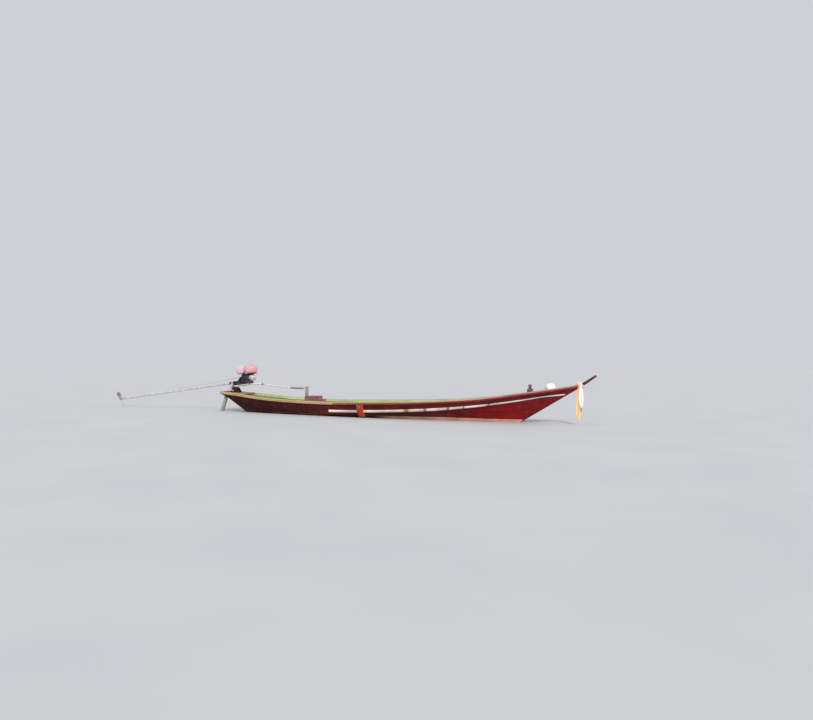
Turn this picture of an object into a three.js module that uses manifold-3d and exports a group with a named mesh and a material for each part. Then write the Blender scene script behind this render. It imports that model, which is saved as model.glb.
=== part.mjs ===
// Wooden longtail boat, afloat, in millimetres.
// +X points to the bow, +Y to port and +Z up. The origin is on the waterline, amidships, on the
// centreline. Every piece is its own closed solid, and touching pieces keep a seam gap.
import * as THREE from 'three';
import { mergeVertices } from 'three/addons/utils/BufferGeometryUtils.js';
import Module from 'manifold-3d';

const wasm = await Module();
wasm.setup();

const boat = new THREE.Group();
const seam = 0.3;
const V = (x, y, z) => new THREE.Vector3(x, y, z);
const radians = THREE.MathUtils.degToRad;

// Finishes, with the colours of the painted and bare wood and of the engine
const finish = (color, roughness, metalness = 0) => new THREE.MeshStandardMaterial({ color, roughness, metalness });
const maroonPaint = finish(0x4a1415, 0.6);
const redPaint = finish(0x7c1f1b, 0.6);
const railWood = finish(0xa98a6c, 0.75);
const whitePaint = finish(0xe6e2d8, 0.6);
const orangePaint = finish(0xc9541f, 0.65);
const creamPaint = finish(0xd6bd9c, 0.7);
const limePaint = finish(0x86b45c, 0.7);
const greyWood = finish(0xb5a99b, 0.8);
const boxPaint = finish(0x8f5a5a, 0.65);
const steel = finish(0xb0a9ae, 0.35, 0.9);
const darkSteel = finish(0x33282b, 0.5, 0.7);
const aluminium = finish(0x8d8c90, 0.45, 0.8);
const tankPaint = finish(0xd99aa8, 0.45);
const filterPlastic = finish(0xe9c4c8, 0.5);
const coverPaint = finish(0xcec2c6, 0.4);
const brass = finish(0xa98445, 0.35, 0.9);
const gripRubber = finish(0x505a68, 0.7);
const floatPlastic = finish(0xe9e9e4, 0.4);
const whiteCloth = finish(0xe8e4dc, 0.9);
const yellowCloth = finish(0xffcf8a, 0.9);
const pinkCloth = finish(0xb98076, 0.9);
const blueRope = finish(0x2c3f66, 0.9);

function addPiece(name, geometry, material, parent = boat) {
  const piece = new THREE.Mesh(geometry, material);
  piece.name = name;
  parent.add(piece);
  return piece;
}

// Joins and cuts of closed solids
function solidOf(geometry) {
  const bare = geometry.clone();
  bare.deleteAttribute('normal');
  bare.deleteAttribute('uv');
  const merged = mergeVertices(bare, 1e-3);
  return new wasm.Manifold(new wasm.Mesh({
    numProp: 3,
    vertProperties: new Float32Array(merged.attributes.position.array),
    triVerts: new Uint32Array(merged.index.array),
  }));
}

function geometryOf(solid) {
  const mesh = solid.getMesh();
  const geometry = new THREE.BufferGeometry();
  geometry.setAttribute('position', new THREE.BufferAttribute(new Float32Array(mesh.vertProperties), 3));
  geometry.setIndex(new THREE.BufferAttribute(new Uint32Array(mesh.triVerts), 1));
  return geometry;
}

const join = (...shapes) => geometryOf(shapes.map(solidOf).reduce((whole, next) => whole.add(next)));
const cut = (shape, ...tools) => geometryOf(
  tools.map(solidOf).reduce((whole, tool) => whole.subtract(tool), solidOf(shape)),
);

// A closed body through rings of points, all with the same count. The ends are closed in the plane
// that the ends argument names.
function loft(rings, endPlane = 'yz') {
  const count = rings[0].length;
  const corners = rings.flat();
  const points = corners.flatMap((point) => [point.x, point.y, point.z]);
  const faces = [];
  for (let ring = 0; ring + 1 < rings.length; ring += 1) {
    for (let side = 0; side < count; side += 1) {
      const next = (side + 1) % count;
      const a = ring * count + side;
      const b = ring * count + next;
      const shortWay = corners[a].distanceTo(corners[b + count]) < corners[b].distanceTo(corners[a + count]);
      if (shortWay) faces.push(a, b, b + count, a, b + count, a + count);
      else faces.push(a, b, a + count, b, b + count, a + count);
    }
  }
  const lastRing = (rings.length - 1) * count;
  capFaces(rings[0], endPlane).forEach(([a, b, c]) => faces.push(a, c, b));
  capFaces(rings.at(-1), endPlane).forEach(([a, b, c]) => faces.push(lastRing + a, lastRing + b, lastRing + c));
  const geometry = new THREE.BufferGeometry();
  geometry.setAttribute('position', new THREE.Float32BufferAttribute(points, 3));
  geometry.setIndex(faces);
  if (signedVolume(geometry) < 0) {
    const index = geometry.index.array;
    for (let face = 0; face < index.length; face += 3) {
      [index[face], index[face + 1]] = [index[face + 1], index[face]];
    }
  }
  return geometry;
}

// The triangles that close a ring, wound the way the ring runs
function capFaces(ring, endPlane) {
  const flat = ring.map((point) => new THREE.Vector2(point[endPlane[0]], point[endPlane[1]]));
  const triangles = THREE.ShapeUtils.triangulateShape(flat, []);
  const area = triangles.reduce((sum, corners) => sum + THREE.ShapeUtils.area(corners.map((i) => flat[i])), 0);
  const sameWay = Math.sign(area) === Math.sign(THREE.ShapeUtils.area(flat));
  return sameWay ? triangles : triangles.map(([a, b, c]) => [a, c, b]);
}

function signedVolume(geometry) {
  const at = (index) => new THREE.Vector3().fromBufferAttribute(geometry.attributes.position, index);
  const index = geometry.index.array;
  let volume = 0;
  for (let face = 0; face < index.length; face += 3) {
    volume += at(index[face]).dot(at(index[face + 1]).cross(at(index[face + 2]))) / 6;
  }
  return volume;
}

const box = (x0, x1, y0, y1, z0, z1) => new THREE.BoxGeometry(x1 - x0, y1 - y0, z1 - z0)
  .translate((x0 + x1) / 2, (y0 + y1) / 2, (z0 + z1) / 2);

// A plate: an outline of [x, z] corners, from y0 to y1
function sidePlate(outline, y0, y1) {
  const shape = new THREE.Shape(outline.map(([x, z]) => new THREE.Vector2(x, z)));
  return new THREE.ExtrudeGeometry(shape, { depth: y1 - y0, bevelEnabled: false })
    .rotateX(Math.PI / 2).translate(0, y1, 0);
}

// A round bar along an axis
function bar(axis, from, to, radius, sides = 16) {
  const shape = new THREE.CylinderGeometry(radius, radius, to - from, sides);
  if (axis === 'x') shape.rotateZ(-Math.PI / 2);
  if (axis === 'z') shape.rotateX(Math.PI / 2);
  const middle = (from + to) / 2;
  return shape.translate(axis === 'x' ? middle : 0, axis === 'y' ? middle : 0, axis === 'z' ? middle : 0);
}

// A turned body on the x axis, from [x, radius] corners
function turnedOnX(profile, sides = 20) {
  const corners = profile.map(([x, radius]) => new THREE.Vector2(radius, x));
  return new THREE.LatheGeometry(corners, sides).rotateZ(-Math.PI / 2);
}

// A box with rounded edges
function roundedBox(x0, x1, y0, y1, z0, z1, radius, steps = 2) {
  const shape = new THREE.Shape();
  const [halfX, halfY] = [(x1 - x0) / 2 - radius, (y1 - y0) / 2 - radius];
  shape.moveTo(-halfX, -halfY);
  shape.lineTo(halfX, -halfY);
  shape.lineTo(halfX, halfY);
  shape.lineTo(-halfX, halfY);
  return new THREE.ExtrudeGeometry(shape, {
    depth: z1 - z0 - 2 * radius,
    bevelEnabled: true,
    bevelThickness: radius,
    bevelSize: radius,
    bevelSegments: steps,
  }).translate((x0 + x1) / 2, (y0 + y1) / 2, z0 + radius);
}

// Hull lines. Each row is one station. The half-breadths and heights are those of the outside of
// the planking, and each line's own x comes from where it starts on the transom and ends on the stem.
const planking = 22;
const railDepth = 58;
const stemHalfWidth = 30;
const stationRows = [
  // x, rail half, rail top z, rub half, rub z, chine half, chine z, keel z
  [-4157, 235, 472, 250, 345, 240, 90, -50],
  [-3700, 325, 441, 330, 278, 285, 72, -95],
  [-3300, 415, 408, 395, 228, 330, 58, -125],
  [-2800, 485, 368, 455, 187, 370, 48, -145],
  [-2200, 545, 341, 515, 150, 420, 42, -165],
  [-1200, 615, 326, 580, 128, 475, 42, -190],
  [0, 640, 358, 600, 160, 480, 56, -190],
  [1200, 590, 408, 545, 232, 405, 70, -170],
  [2200, 465, 490, 410, 325, 285, 66, -135],
  [3100, 290, 625, 235, 452, 165, 60, -95],
  [3700, 160, 722, 115, 553, 95, 60, -55],
  [4170, 53, 806, 53, 606, 53, 64, -15],
];
const foreBreak = 1200;
const aftBreak = -2800;
const lineEnds = {
  rail: { aft: -4157, fore: 4170 },
  rub: { aft: -3957, fore: 3935 },
  chine: { aft: -3549, fore: 3055 },
  keel: { aft: -3325, fore: 2958 },
};

function lineX(line, x) {
  const { aft, fore } = lineEnds[line];
  if (x > foreBreak) {
    return foreBreak + ((x - foreBreak) * (fore - foreBreak)) / (lineEnds.rail.fore - foreBreak);
  }
  if (x < aftBreak) {
    return aftBreak + ((x - aftBreak) * (aft - aftBreak)) / (lineEnds.rail.aft - aftBreak);
  }
  return x;
}

const lineCurve = (line, half, height) => new THREE.CatmullRomCurve3(
  stationRows.map((row) => V(lineX(line, row[0]), half(row), height(row))),
  false,
  'centripetal',
);
const hullLines = {
  rail: lineCurve('rail', (row) => row[1], (row) => row[2]),
  rub: lineCurve('rub', (row) => row[3], (row) => row[4]),
  chine: lineCurve('chine', (row) => row[5], (row) => row[6]),
  keel: lineCurve('keel', () => stemHalfWidth + seam, (row) => row[7]),
};

// The outside of the planking at one station, from the keel up: 0 keel, 1 bilge, 2 chine, 3 rub line
// and 4 the plank edge under the rail. The bottom lands on the keel with its inner corner.
const bilgeOut = 0.58;
const bilgeUp = 0.26;
function curvedSection(along) {
  const [rail, rub, chine, keel] = ['rail', 'rub', 'chine', 'keel'].map((line) => hullLines[line].getPoint(along));
  const bilge = V(0, 0, keel.z + (chine.z - keel.z) * bilgeUp);
  bilge.x = keel.x + (chine.x - keel.x) * bilgeOut;
  const innerHalf = keel.y;
  for (let pass = 0; pass < 12; pass += 1) {
    bilge.y = keel.y + (chine.y - keel.y) * bilgeOut;
    keel.y = innerHalf + planking * Math.sin(Math.atan2(bilge.z - keel.z, bilge.y - keel.y));
  }
  rail.z -= railDepth;
  return [keel, bilge, chine, rub, rail];
}

// The planking is flat between neighbouring stations, so what lies on it uses the same stations
const stationCount = 28;
const sections = Array.from({ length: stationCount + 1 }, (_, i) => curvedSection(i / stationCount));
function sectionAt(along) {
  const place = Math.min(along * stationCount, stationCount - 1e-9);
  const before = Math.floor(place);
  return sections[before].map((corner, i) => corner.clone().lerp(sections[before + 1][i], place - before));
}
const lineLevels = { keel: 0, chine: 2, rub: 3, rail: 4 };
const pointOn = (line, along) => sectionAt(along)[lineLevels[line]];

// Where along the hull, from 0 at the transom to 1 at the stem, a point that moves with it reaches x
function alongWhere(pointAt, x) {
  let [low, high] = [0, 1];
  for (let step = 0; step < 40; step += 1) {
    const middle = (low + high) / 2;
    if (pointAt(middle).x < x) low = middle;
    else high = middle;
  }
  return (low + high) / 2;
}
const alongAt = (x, line = 'rail') => alongWhere((along) => pointOn(line, along), x);

// A point of the skin: level is 0 to 4 as above, and out is the distance outside the planking
function skin(along, level, out, side = 1) {
  const corners = sectionAt(along);
  const normals = corners.slice(1).map((corner, index) => {
    const span = new THREE.Vector2(corner.y - corners[index].y, corner.z - corners[index].z).normalize();
    return new THREE.Vector2(span.y, -span.x);
  });
  const moved = corners.map((corner, index) => {
    const before = normals[Math.max(index - 1, 0)];
    const after = normals[Math.min(index, normals.length - 1)];
    const miter = before.clone().add(after).normalize();
    if (index === corners.length - 1) return V(corner.x, corner.y + out / miter.x, corner.z);
    const reach = out / Math.max(miter.dot(after), 0.5);
    return V(corner.x, corner.y + miter.x * reach, corner.z + miter.y * reach);
  });
  const below = Math.min(Math.floor(level), moved.length - 2);
  const point = moved[below].lerp(moved[below + 1], level - below);
  point.y *= side;
  return point;
}

// The level that lies a given distance above (or below) another, measured on the skin
function levelFrom(along, level, distance) {
  const corners = sectionAt(along);
  const upper = distance > 0 ? Math.floor(level) + 1 : Math.ceil(level);
  return level + distance / corners[upper].distanceTo(corners[upper - 1]);
}

// The level at which the inside of the planking reaches a height
function levelAtHeight(along, height, out) {
  let [low, high] = [0, 4];
  for (let step = 0; step < 40; step += 1) {
    const middle = (low + high) / 2;
    if (skin(along, middle, out).z < height) low = middle;
    else high = middle;
  }
  return (low + high) / 2;
}

// The half-breadth inside the planking at a given x and height
function insideHalf(x, height, clear = seam) {
  const at = (along) => skin(along, levelAtHeight(along, height, -planking - clear), -planking - clear);
  return at(alongWhere(at, x)).y;
}

const steps = (from, to, count) => Array.from({ length: count + 1 }, (_, i) => from + ((to - from) * i) / count);
const hullStations = (from, to) => [
  from,
  ...steps(0, 1, stationCount).filter((along) => along > from + 0.002 && along < to - 0.002),
  to,
];
const lofted = (from, to, ring) => loft(hullStations(from, to).map(ring));
const sides = { starboard: -1, port: 1 };

// What stands clear of all planks on one side by a seam, for fitting the pieces that lie on them
const plankCutters = Object.fromEntries(Object.entries(sides).map(([sideName, side]) => [
  sideName,
  lofted(0, 1, (along) => [
    ...[0, 1, 2, 3, 4].map((level) => skin(along, level, seam, side)),
    ...[4, 3, 2, 1, 0].map((level) => skin(along, level, -planking - seam, side)),
  ]),
]));
const fitted = (shape, sideName) => cut(shape, plankCutters[sideName]);

// Keel timber between the two halves of the bottom, and the stem with the prow post above it
const keelBelow = 45;
const stemButtX = 2880;
const keelButt = alongAt(stemButtX, 'keel');
const keelHeightAt = (along) => pointOn('keel', along).z;
addPiece('keel', lofted(0.004, keelButt, (along) => {
  const { x, z } = pointOn('keel', along);
  return [
    V(x, -stemHalfWidth, z - keelBelow),
    V(x, stemHalfWidth, z - keelBelow),
    V(x, stemHalfWidth, z + planking),
    V(x, -stemHalfWidth, z + planking),
  ];
}), maroonPaint);

const stemFoot = new THREE.Vector2(3000, 0);
const stemRake = new THREE.Vector2(1160, 723).normalize();
const stemDepth = 112;
const onStem = (z, back = 0) => {
  const start = stemFoot.clone().add(new THREE.Vector2(-stemRake.y, stemRake.x).multiplyScalar(back));
  return [start.x + ((z - start.y) * stemRake.x) / stemRake.y, z];
};
const stemHead = { front: 800, back: 784 };
const prowPostDepth = 56;
const prowTip = { front: [4530, 981], back: [4508, 1011] };
const prowBend = { front: 826, back: 873 };
const keelAtButt = keelHeightAt(keelButt);
addPiece('stem', sidePlate([
  [stemButtX + seam, keelAtButt - keelBelow],
  [2955, -52],
  [3000, 0],
  onStem(prowBend.front),
  prowTip.front,
  prowTip.back,
  onStem(prowBend.back, prowPostDepth),
  onStem(stemHead.front, prowPostDepth),
  onStem(stemHead.back, stemDepth),
  onStem(90, stemDepth),
  [stemButtX + seam, keelAtButt + planking],
], -stemHalfWidth, stemHalfWidth), maroonPaint);

// Planking: the bottom, the side up to the rub line and the top strake, on both sides
for (const [sideName, side] of Object.entries(sides)) {
  const strake = (fromLevel, toLevel, parts) => lofted(0, 1, (along) => {
    const upper = toLevel < 4 ? levelFrom(along, toLevel, -2 * seam) : toLevel;
    const levels = [...steps(fromLevel, toLevel, parts).slice(0, -1), upper];
    const outer = levels.map((level) => skin(along, level, 0, side));
    const inner = levels.map((level) => skin(along, level, -planking, side)).reverse();
    return [...outer, ...inner];
  });
  addPiece(`bottom_planking_${sideName}`, strake(0, 2, 2), creamPaint);
  addPiece(`side_planking_${sideName}`, strake(2, 3, 1), maroonPaint);
  addPiece(`top_strake_${sideName}`, strake(3, 4, 1), redPaint);
}

// Raked transom board between the plank ends, with its head between the rails
const transomThickness = 58;
const transomHead = { half: 166, top: 470 };
const transomRake = 1.6;
const transomInset = 4;
const transomX = (z) => -3405 - transomRake * z;
const transomRing = (forward) => {
  const levels = [levelFrom(0, 4, -34), 3, 2, 1, 0];
  const planks = levels.map((level) => skin(0, level, -planking - seam));
  const keelTop = keelHeightAt(0) + planking + seam;
  const outline = [
    V(0, transomHead.half, transomHead.top),
    V(0, transomHead.half, planks[0].z),
    ...planks,
    V(0, 0, keelTop),
  ].map((point) => point.setX(transomX(point.z) + forward));
  return [...outline, ...outline.slice(0, -1).map((point) => V(point.x, -point.y, point.z)).reverse()];
};
addPiece('transom', loft([transomRing(transomInset), transomRing(transomInset + transomThickness)]), maroonPaint);

// Rails on top of the top strakes: bare tan wood aft, painted wood forward
const railOutside = 24;
const railInside = 62;
const railJointX = -1000;
const railRing = (side) => (along) => {
  const edge = pointOn('rail', along);
  const top = edge.clone().setZ(edge.z + railDepth);
  const outer = top.y + railOutside;
  const inner = Math.max(top.y - railInside, stemHalfWidth + seam);
  const under = edge.z + seam;
  return [
    V(top.x, side * inner, under),
    V(top.x, side * outer, under),
    V(top.x, side * outer, top.z - 8),
    V(top.x, side * (outer - 8), top.z),
    V(top.x, side * (inner + 4), top.z),
    V(top.x, side * inner, top.z - 4),
  ];
};
const railJoint = alongAt(railJointX);
for (const [sideName, side] of Object.entries(sides)) {
  const gap = seam / 8000;
  addPiece(`rail_aft_${sideName}`, lofted(0, railJoint - gap, railRing(side)), railWood);
  addPiece(`rail_fore_${sideName}`, lofted(railJoint + gap, 1, railRing(side)), redPaint);
}

// White rub strakes over the seam between side and top strake, and orange fender strips over them
const rubHalfHeight = 28;
const rubThickness = 22;
const bedded = 8;
const rubFrom = alongAt(-1115);
const fender = { aft: -430, fore: -282, thickness: 40 };
const rubTo = 0.985;
for (const [sideName, side] of Object.entries(sides)) {
  addPiece(`rub_strake_${sideName}`, fitted(lofted(rubFrom, rubTo, (along) => {
    const [low, high] = [levelFrom(along, 3, -rubHalfHeight), levelFrom(along, 3, rubHalfHeight)];
    return [
      skin(along, low, -bedded, side),
      skin(along, 3, -bedded, side),
      skin(along, high, -bedded, side),
      skin(along, high, rubThickness, side),
      skin(along, 3, rubThickness, side),
      skin(along, low, rubThickness, side),
    ];
  }), sideName), whitePaint);
  addPiece(`fender_strip_${sideName}`, fitted(lofted(alongAt(fender.aft), alongAt(fender.fore), (along) => {
    const notch = rubHalfHeight + 1;
    const [low, high] = [levelFrom(along, 3, -notch), levelFrom(along, 3, notch)];
    const over = rubThickness + 1;
    return [
      skin(along, 2.04, -bedded, side),
      skin(along, low, -bedded, side),
      skin(along, low, over, side),
      skin(along, 3, over, side),
      skin(along, high, over, side),
      skin(along, high, -bedded, side),
      skin(along, 3.99, -bedded, side),
      skin(along, 3.99, fender.thickness, side),
      skin(along, 3, fender.thickness, side),
      skin(along, 2.04, fender.thickness, side),
    ];
  }), sideName), orangePaint);
}

// Ribs inside each side, joined by the riser that carries the thwarts
const ribSpacing = 545;
const ribXs = Array.from({ length: 11 }, (_, i) => -2960 + i * ribSpacing);
const rib = { wide: 36, deep: 28, low: 2.12, high: 3.94 };
const riser = { level: 2.9, high: 46, deep: 24 };
const ribBack = -planking + bedded;
const ribFace = -planking - seam - rib.deep;
for (const [sideName, side] of Object.entries(sides)) {
  const ribs = ribXs.map((x) => lofted(alongAt(x - rib.wide / 2), alongAt(x + rib.wide / 2), (along) => [
    skin(along, rib.low, ribBack, side),
    skin(along, 3, ribBack, side),
    skin(along, rib.high, ribBack, side),
    skin(along, rib.high, ribFace, side),
    skin(along, 3, ribFace, side),
    skin(along, rib.low, ribFace, side),
  ]));
  const riserSolid = lofted(alongAt(ribXs[0] - 60), alongAt(ribXs.at(-1) + 60), (along) => {
    const low = levelFrom(along, riser.level, -riser.high);
    return [
      skin(along, low, ribFace + 4, side),
      skin(along, riser.level, ribFace + 4, side),
      skin(along, riser.level, ribFace - riser.deep, side),
      skin(along, low, ribFace - riser.deep, side),
    ];
  });
  addPiece(`ribs_${sideName}`, fitted(join(riserSolid, ...ribs), sideName), limePaint);
}

// Floor timbers across the bottom at each rib, joined by the keelson over the keel
const floorTop = -52;
const floorTimberWide = 40;
const keelson = { half: 60, under: 34 };
const floorXs = ribXs.slice(1, -1);
const floorTimber = (x) => {
  const [aft, fore] = [alongAt(x - floorTimberWide / 2), alongAt(x + floorTimberWide / 2)];
  const ring = (along) => {
    const top = levelAtHeight(along, floorTop, -planking) - 0.04;
    const port = [top, 1].map((level) => skin(along, level, -planking + bedded));
    port[0].z = floorTop;
    const keel = pointOn('keel', along);
    const half = [...port, V(keel.x, stemHalfWidth + 5, keel.z + planking + 1.5)];
    return [...half, ...half.map((point) => V(point.x, -point.y, point.z)).reverse()];
  };
  return loft([ring(aft), ring(fore)]);
};
const keelsonSolid = lofted(alongAt(floorXs[0]), alongAt(floorXs.at(-1)), (along) => {
  const { x } = pointOn('keel', along);
  return [
    V(x, -keelson.half, floorTop - keelson.under),
    V(x, keelson.half, floorTop - keelson.under),
    V(x, keelson.half, floorTop),
    V(x, -keelson.half, floorTop),
  ];
});
const floorSolid = join(keelsonSolid, ...floorXs.map(floorTimber));
addPiece('floor_timbers', fitted(fitted(floorSolid, 'starboard'), 'port'), limePaint);

// Floorboards on the floor timbers, each a panel of boards with a groove at every seam
const boardThickness = 20;
const grooves = { count: 6, wide: 5, deep: 6 };
const floorPanels = [
  // name, aft x, fore x
  ['floorboards_aft', -2430, -280],
  ['floorboards_fore', -274, 1830],
];
const floorHeight = floorTop + seam + boardThickness;
for (const [name, aftX, foreX] of floorPanels) {
  addPiece(name, loft(steps(aftX, foreX, 8).map((x) => {
    const half = insideHalf(x, floorTop, 12);
    const [under, top] = [floorTop + seam, floorHeight];
    const ring = [V(x, half, under), V(x, half, top)];
    for (const place of steps(1, -1, grooves.count + 1).slice(1, -1)) {
      const y = place * half;
      const grooveHalf = grooves.wide / 2;
      ring.push(
        V(x, y + grooveHalf, top),
        V(x, y + grooveHalf, top - grooves.deep),
        V(x, y - grooveHalf, top - grooves.deep),
        V(x, y - grooveHalf, top),
      );
    }
    return [...ring, V(x, -half, top), V(x, -half, under)];
  })), limePaint);
}

// Thwarts across the boat, resting on the two risers between the ribs
const thwart = { thickness: 32, wide: 230 };
const thwartBays = [3, 5, 7, 9];
const thwartXs = thwartBays.map((bay) => ribXs[bay] + ribSpacing / 2);
const riserEdge = (along) => skin(along, riser.level, ribFace - riser.deep);
const riserTopAt = (x) => riserEdge(alongWhere(riserEdge, x)).z;
thwartXs.forEach((x, index) => {
  const [aft, fore] = [x - thwart.wide / 2, x + thwart.wide / 2];
  const under = Math.max(...steps(aft, fore, 4).map((place) => riserTopAt(place))) + seam + 1;
  const ring = (place) => {
    const half = insideHalf(place, under, -bedded);
    return [
      V(place, -half, under),
      V(place, half, under),
      V(place, half, under + thwart.thickness),
      V(place, -half, under + thwart.thickness),
    ];
  };
  const board = fitted(fitted(loft([ring(aft), ring(fore)]), 'starboard'), 'port');
  addPiece(`thwart_${index + 1}`, board, index === 3 ? limePaint : greyWood);
});

// Decks at both ends, each with a beam under its open edge
const deck = { thickness: 24, beamDeep: 60, beamWide: 45 };
const deckLevel = 3.42;
function deckSolid(from, to, level, beamAt) {
  const ring = (drop) => (along) => {
    const [top, under] = [0, -drop].map((lower) => skin(along, levelFrom(along, level, lower), -planking + bedded));
    return [top, under, V(under.x, -under.y, under.z), V(top.x, -top.y, top.z)];
  };
  const boards = lofted(from, to, ring(deck.thickness));
  const beam = lofted(...beamAt, ring(deck.beamDeep));
  return fitted(fitted(join(boards, beam), 'starboard'), 'port');
}
const foredeckAft = alongAt(2760);
const sterndeckFore = alongAt(-3330);
addPiece('foredeck', cut(
  deckSolid(foredeckAft, 0.965, deckLevel, [foredeckAft, alongAt(2760 + deck.beamWide)]),
  box(3690, 4300, -stemHalfWidth - seam, stemHalfWidth + seam, 300, 900),
), maroonPaint);
addPiece('sterndeck', cut(
  deckSolid(0.002, sterndeckFore, 3.55, [alongAt(-3330 - deck.beamWide), sterndeckFore]),
  loft([transomRing(-400), transomRing(transomInset + transomThickness + seam)]),
), limePaint);

// Bitt through the foredeck, with rope wound round its foot
const deckTopAt = (x, level) => {
  const edge = (along) => skin(along, level, -planking + bedded);
  return edge(alongWhere(edge, x)).z;
};
const bitt = { x: 3190, half: 29, top: 792, pinZ: 735, pinHalf: 75, pinRadius: 11 };
const bittFoot = deckTopAt(bitt.x + bitt.half, deckLevel) + seam;
const bittPost = box(bitt.x - bitt.half, bitt.x + bitt.half, -bitt.half, bitt.half, bittFoot, bitt.top);
const bittPin = bar('y', -bitt.pinHalf, bitt.pinHalf, bitt.pinRadius, 10).translate(bitt.x, 0, bitt.pinZ);
addPiece('bow_bitt', join(bittPost, bittPin), redPaint);
const ropeTurns = { thick: 20, inner: bitt.half * Math.SQRT2 + 1, turns: 8 };
const ropeProfile = [new THREE.Vector2(ropeTurns.inner, 0)];
for (let turn = 0; turn < ropeTurns.turns; turn += 1) {
  const low = turn * ropeTurns.thick;
  ropeProfile.push(
    new THREE.Vector2(ropeTurns.inner + ropeTurns.thick - 6, low),
    new THREE.Vector2(ropeTurns.inner + ropeTurns.thick, low + ropeTurns.thick / 2),
  );
}
const ropeHeight = ropeTurns.turns * ropeTurns.thick;
ropeProfile.push(
  new THREE.Vector2(ropeTurns.inner + ropeTurns.thick - 6, ropeHeight),
  new THREE.Vector2(ropeTurns.inner, ropeHeight),
  new THREE.Vector2(ropeTurns.inner, 0),
);
const ropeFoot = deckTopAt(bitt.x + ropeTurns.inner + ropeTurns.thick, deckLevel) + seam;
addPiece('bitt_rope', new THREE.LatheGeometry(ropeProfile, 16).rotateX(Math.PI / 2)
  .translate(bitt.x, 0, ropeFoot), blueRope);

// Round float lying on the foredeck
const ball = { x: 3610, y: 0, radius: 112 };
const deckSlope = Math.atan2(deckTopAt(ball.x + 60, deckLevel) - deckTopAt(ball.x - 60, deckLevel), 120);
const ballZ = deckTopAt(ball.x, deckLevel) + (ball.radius + seam) / Math.cos(deckSlope);
addPiece('float_ball', new THREE.SphereGeometry(ball.radius, 24, 16).rotateX(Math.PI / 2)
  .translate(ball.x, ball.y, ballZ), floatPlastic);

// Cloth knot round the prow post and the three ribbons that hang from it
const knot = { z: 800, inner: 41.9, outer: 62, long: 84 };
const knotX = onStem(knot.z, prowPostDepth / 2)[0];
const knotRing = new THREE.LatheGeometry([
  new THREE.Vector2(knot.inner, -knot.long / 2),
  new THREE.Vector2(knot.outer - 8, -knot.long / 2),
  new THREE.Vector2(knot.outer, 0),
  new THREE.Vector2(knot.outer - 8, knot.long / 2),
  new THREE.Vector2(knot.inner, knot.long / 2),
  new THREE.Vector2(knot.inner, -knot.long / 2),
], 16).rotateZ(-Math.PI / 2).rotateY(-stemRake.angle());
addPiece('prow_knot', knotRing.translate(knotX, 0, knot.z), whiteCloth);
const ribbonThickness = 5;
const ribbons = [
  // name, aft x and fore x at the knot, aft x and fore x where it hangs free, foot z, layer out from the knot, material
  ['ribbon_yellow', 4180, 4228, 4121, 4231, 100, 0, yellowCloth],
  ['ribbon_pink', 4190, 4236, 4184, 4258, 268, 1, pinkCloth],
  ['ribbon_white', 4184, 4246, 4176, 4282, 342, 2, whiteCloth],
];
const ribbonSpread = { gathered: 735, free: 620 };
const ribbonTop = knot.z + 6;
for (const [name, aftTop, foreTop, aftX, foreX, footZ, layer, material] of ribbons) {
  const near = -knot.outer - seam - layer * (ribbonThickness + seam);
  addPiece(name, sidePlate([
    [aftX, footZ],
    [foreX, footZ],
    [foreX, ribbonSpread.free],
    [foreTop, ribbonSpread.gathered],
    [foreTop, ribbonTop],
    [aftTop, ribbonTop],
    [aftTop, ribbonSpread.gathered],
    [aftX, ribbonSpread.free],
  ], near - ribbonThickness, near), material);
}

// Board let in between the stern rails, and the raked post that carries the engine
const sternBoard = { aft: -3880, fore: -3540, top: 443, thickness: 26, ease: 0.7 };
const sternBoardRing = (x) => {
  const half = pointOn('rail', alongAt(x)).y - railInside - sternBoard.ease;
  return [
    V(x, -half, sternBoard.top - sternBoard.thickness),
    V(x, half, sternBoard.top - sternBoard.thickness),
    V(x, half, sternBoard.top),
    V(x, -half, sternBoard.top),
  ];
};
addPiece('stern_board', loft(steps(sternBoard.aft, sternBoard.fore, 3).map(sternBoardRing)), railWood);

const pivot = { x: -3950, z: 672 };
const pin = { radius: 13, boreRadius: 13.6, foot: 520 };
const postHead = { radius: 34, foot: 505, top: 606.4 };
const post = { halfWide: 30, footAft: -4185, footFore: -4030 };
const postFoot = transomHead.top + seam;
const postBlank = sidePlate([
  [post.footAft, postFoot],
  [post.footFore, postFoot],
  [pivot.x + 8, postHead.foot + 14],
  [pivot.x + 8, postHead.top - 12],
  [pivot.x - 42, postHead.top - 12],
], -post.halfWide, post.halfWide);
const headTube = bar('z', postHead.foot, postHead.top, postHead.radius, 20).translate(pivot.x, 0, 0);
const headBore = bar('z', pin.foot - 6, postHead.top + 10, pin.boreRadius, 20).translate(pivot.x, 0, 0);
addPiece('engine_post', cut(join(postBlank, headTube), headBore), greyWood);

// Pale leg on the raked transom, reaching down into the water
const leg = { half: 34, y: -150, slope: 0.30, aftX: -4060, refZ: 290, foot: -330, wide: 72 };
const legX = (z) => leg.aftX + (z - leg.refZ) * leg.slope;
const legTopZ = (offset) => (legX(0) + offset - transomX(0) - transomInset + 2 * seam) / (-transomRake - leg.slope);
addPiece('stern_leg', sidePlate([
  [legX(leg.foot) - leg.wide / 2, leg.foot],
  [legX(leg.foot) + leg.wide / 2, leg.foot],
  [legX(legTopZ(leg.wide / 2)) + leg.wide / 2, legTopZ(leg.wide / 2)],
  [legX(legTopZ(-leg.wide / 2)) - leg.wide / 2, legTopZ(-leg.wide / 2)],
], leg.y - leg.half, leg.y + leg.half), greyWood);

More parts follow.
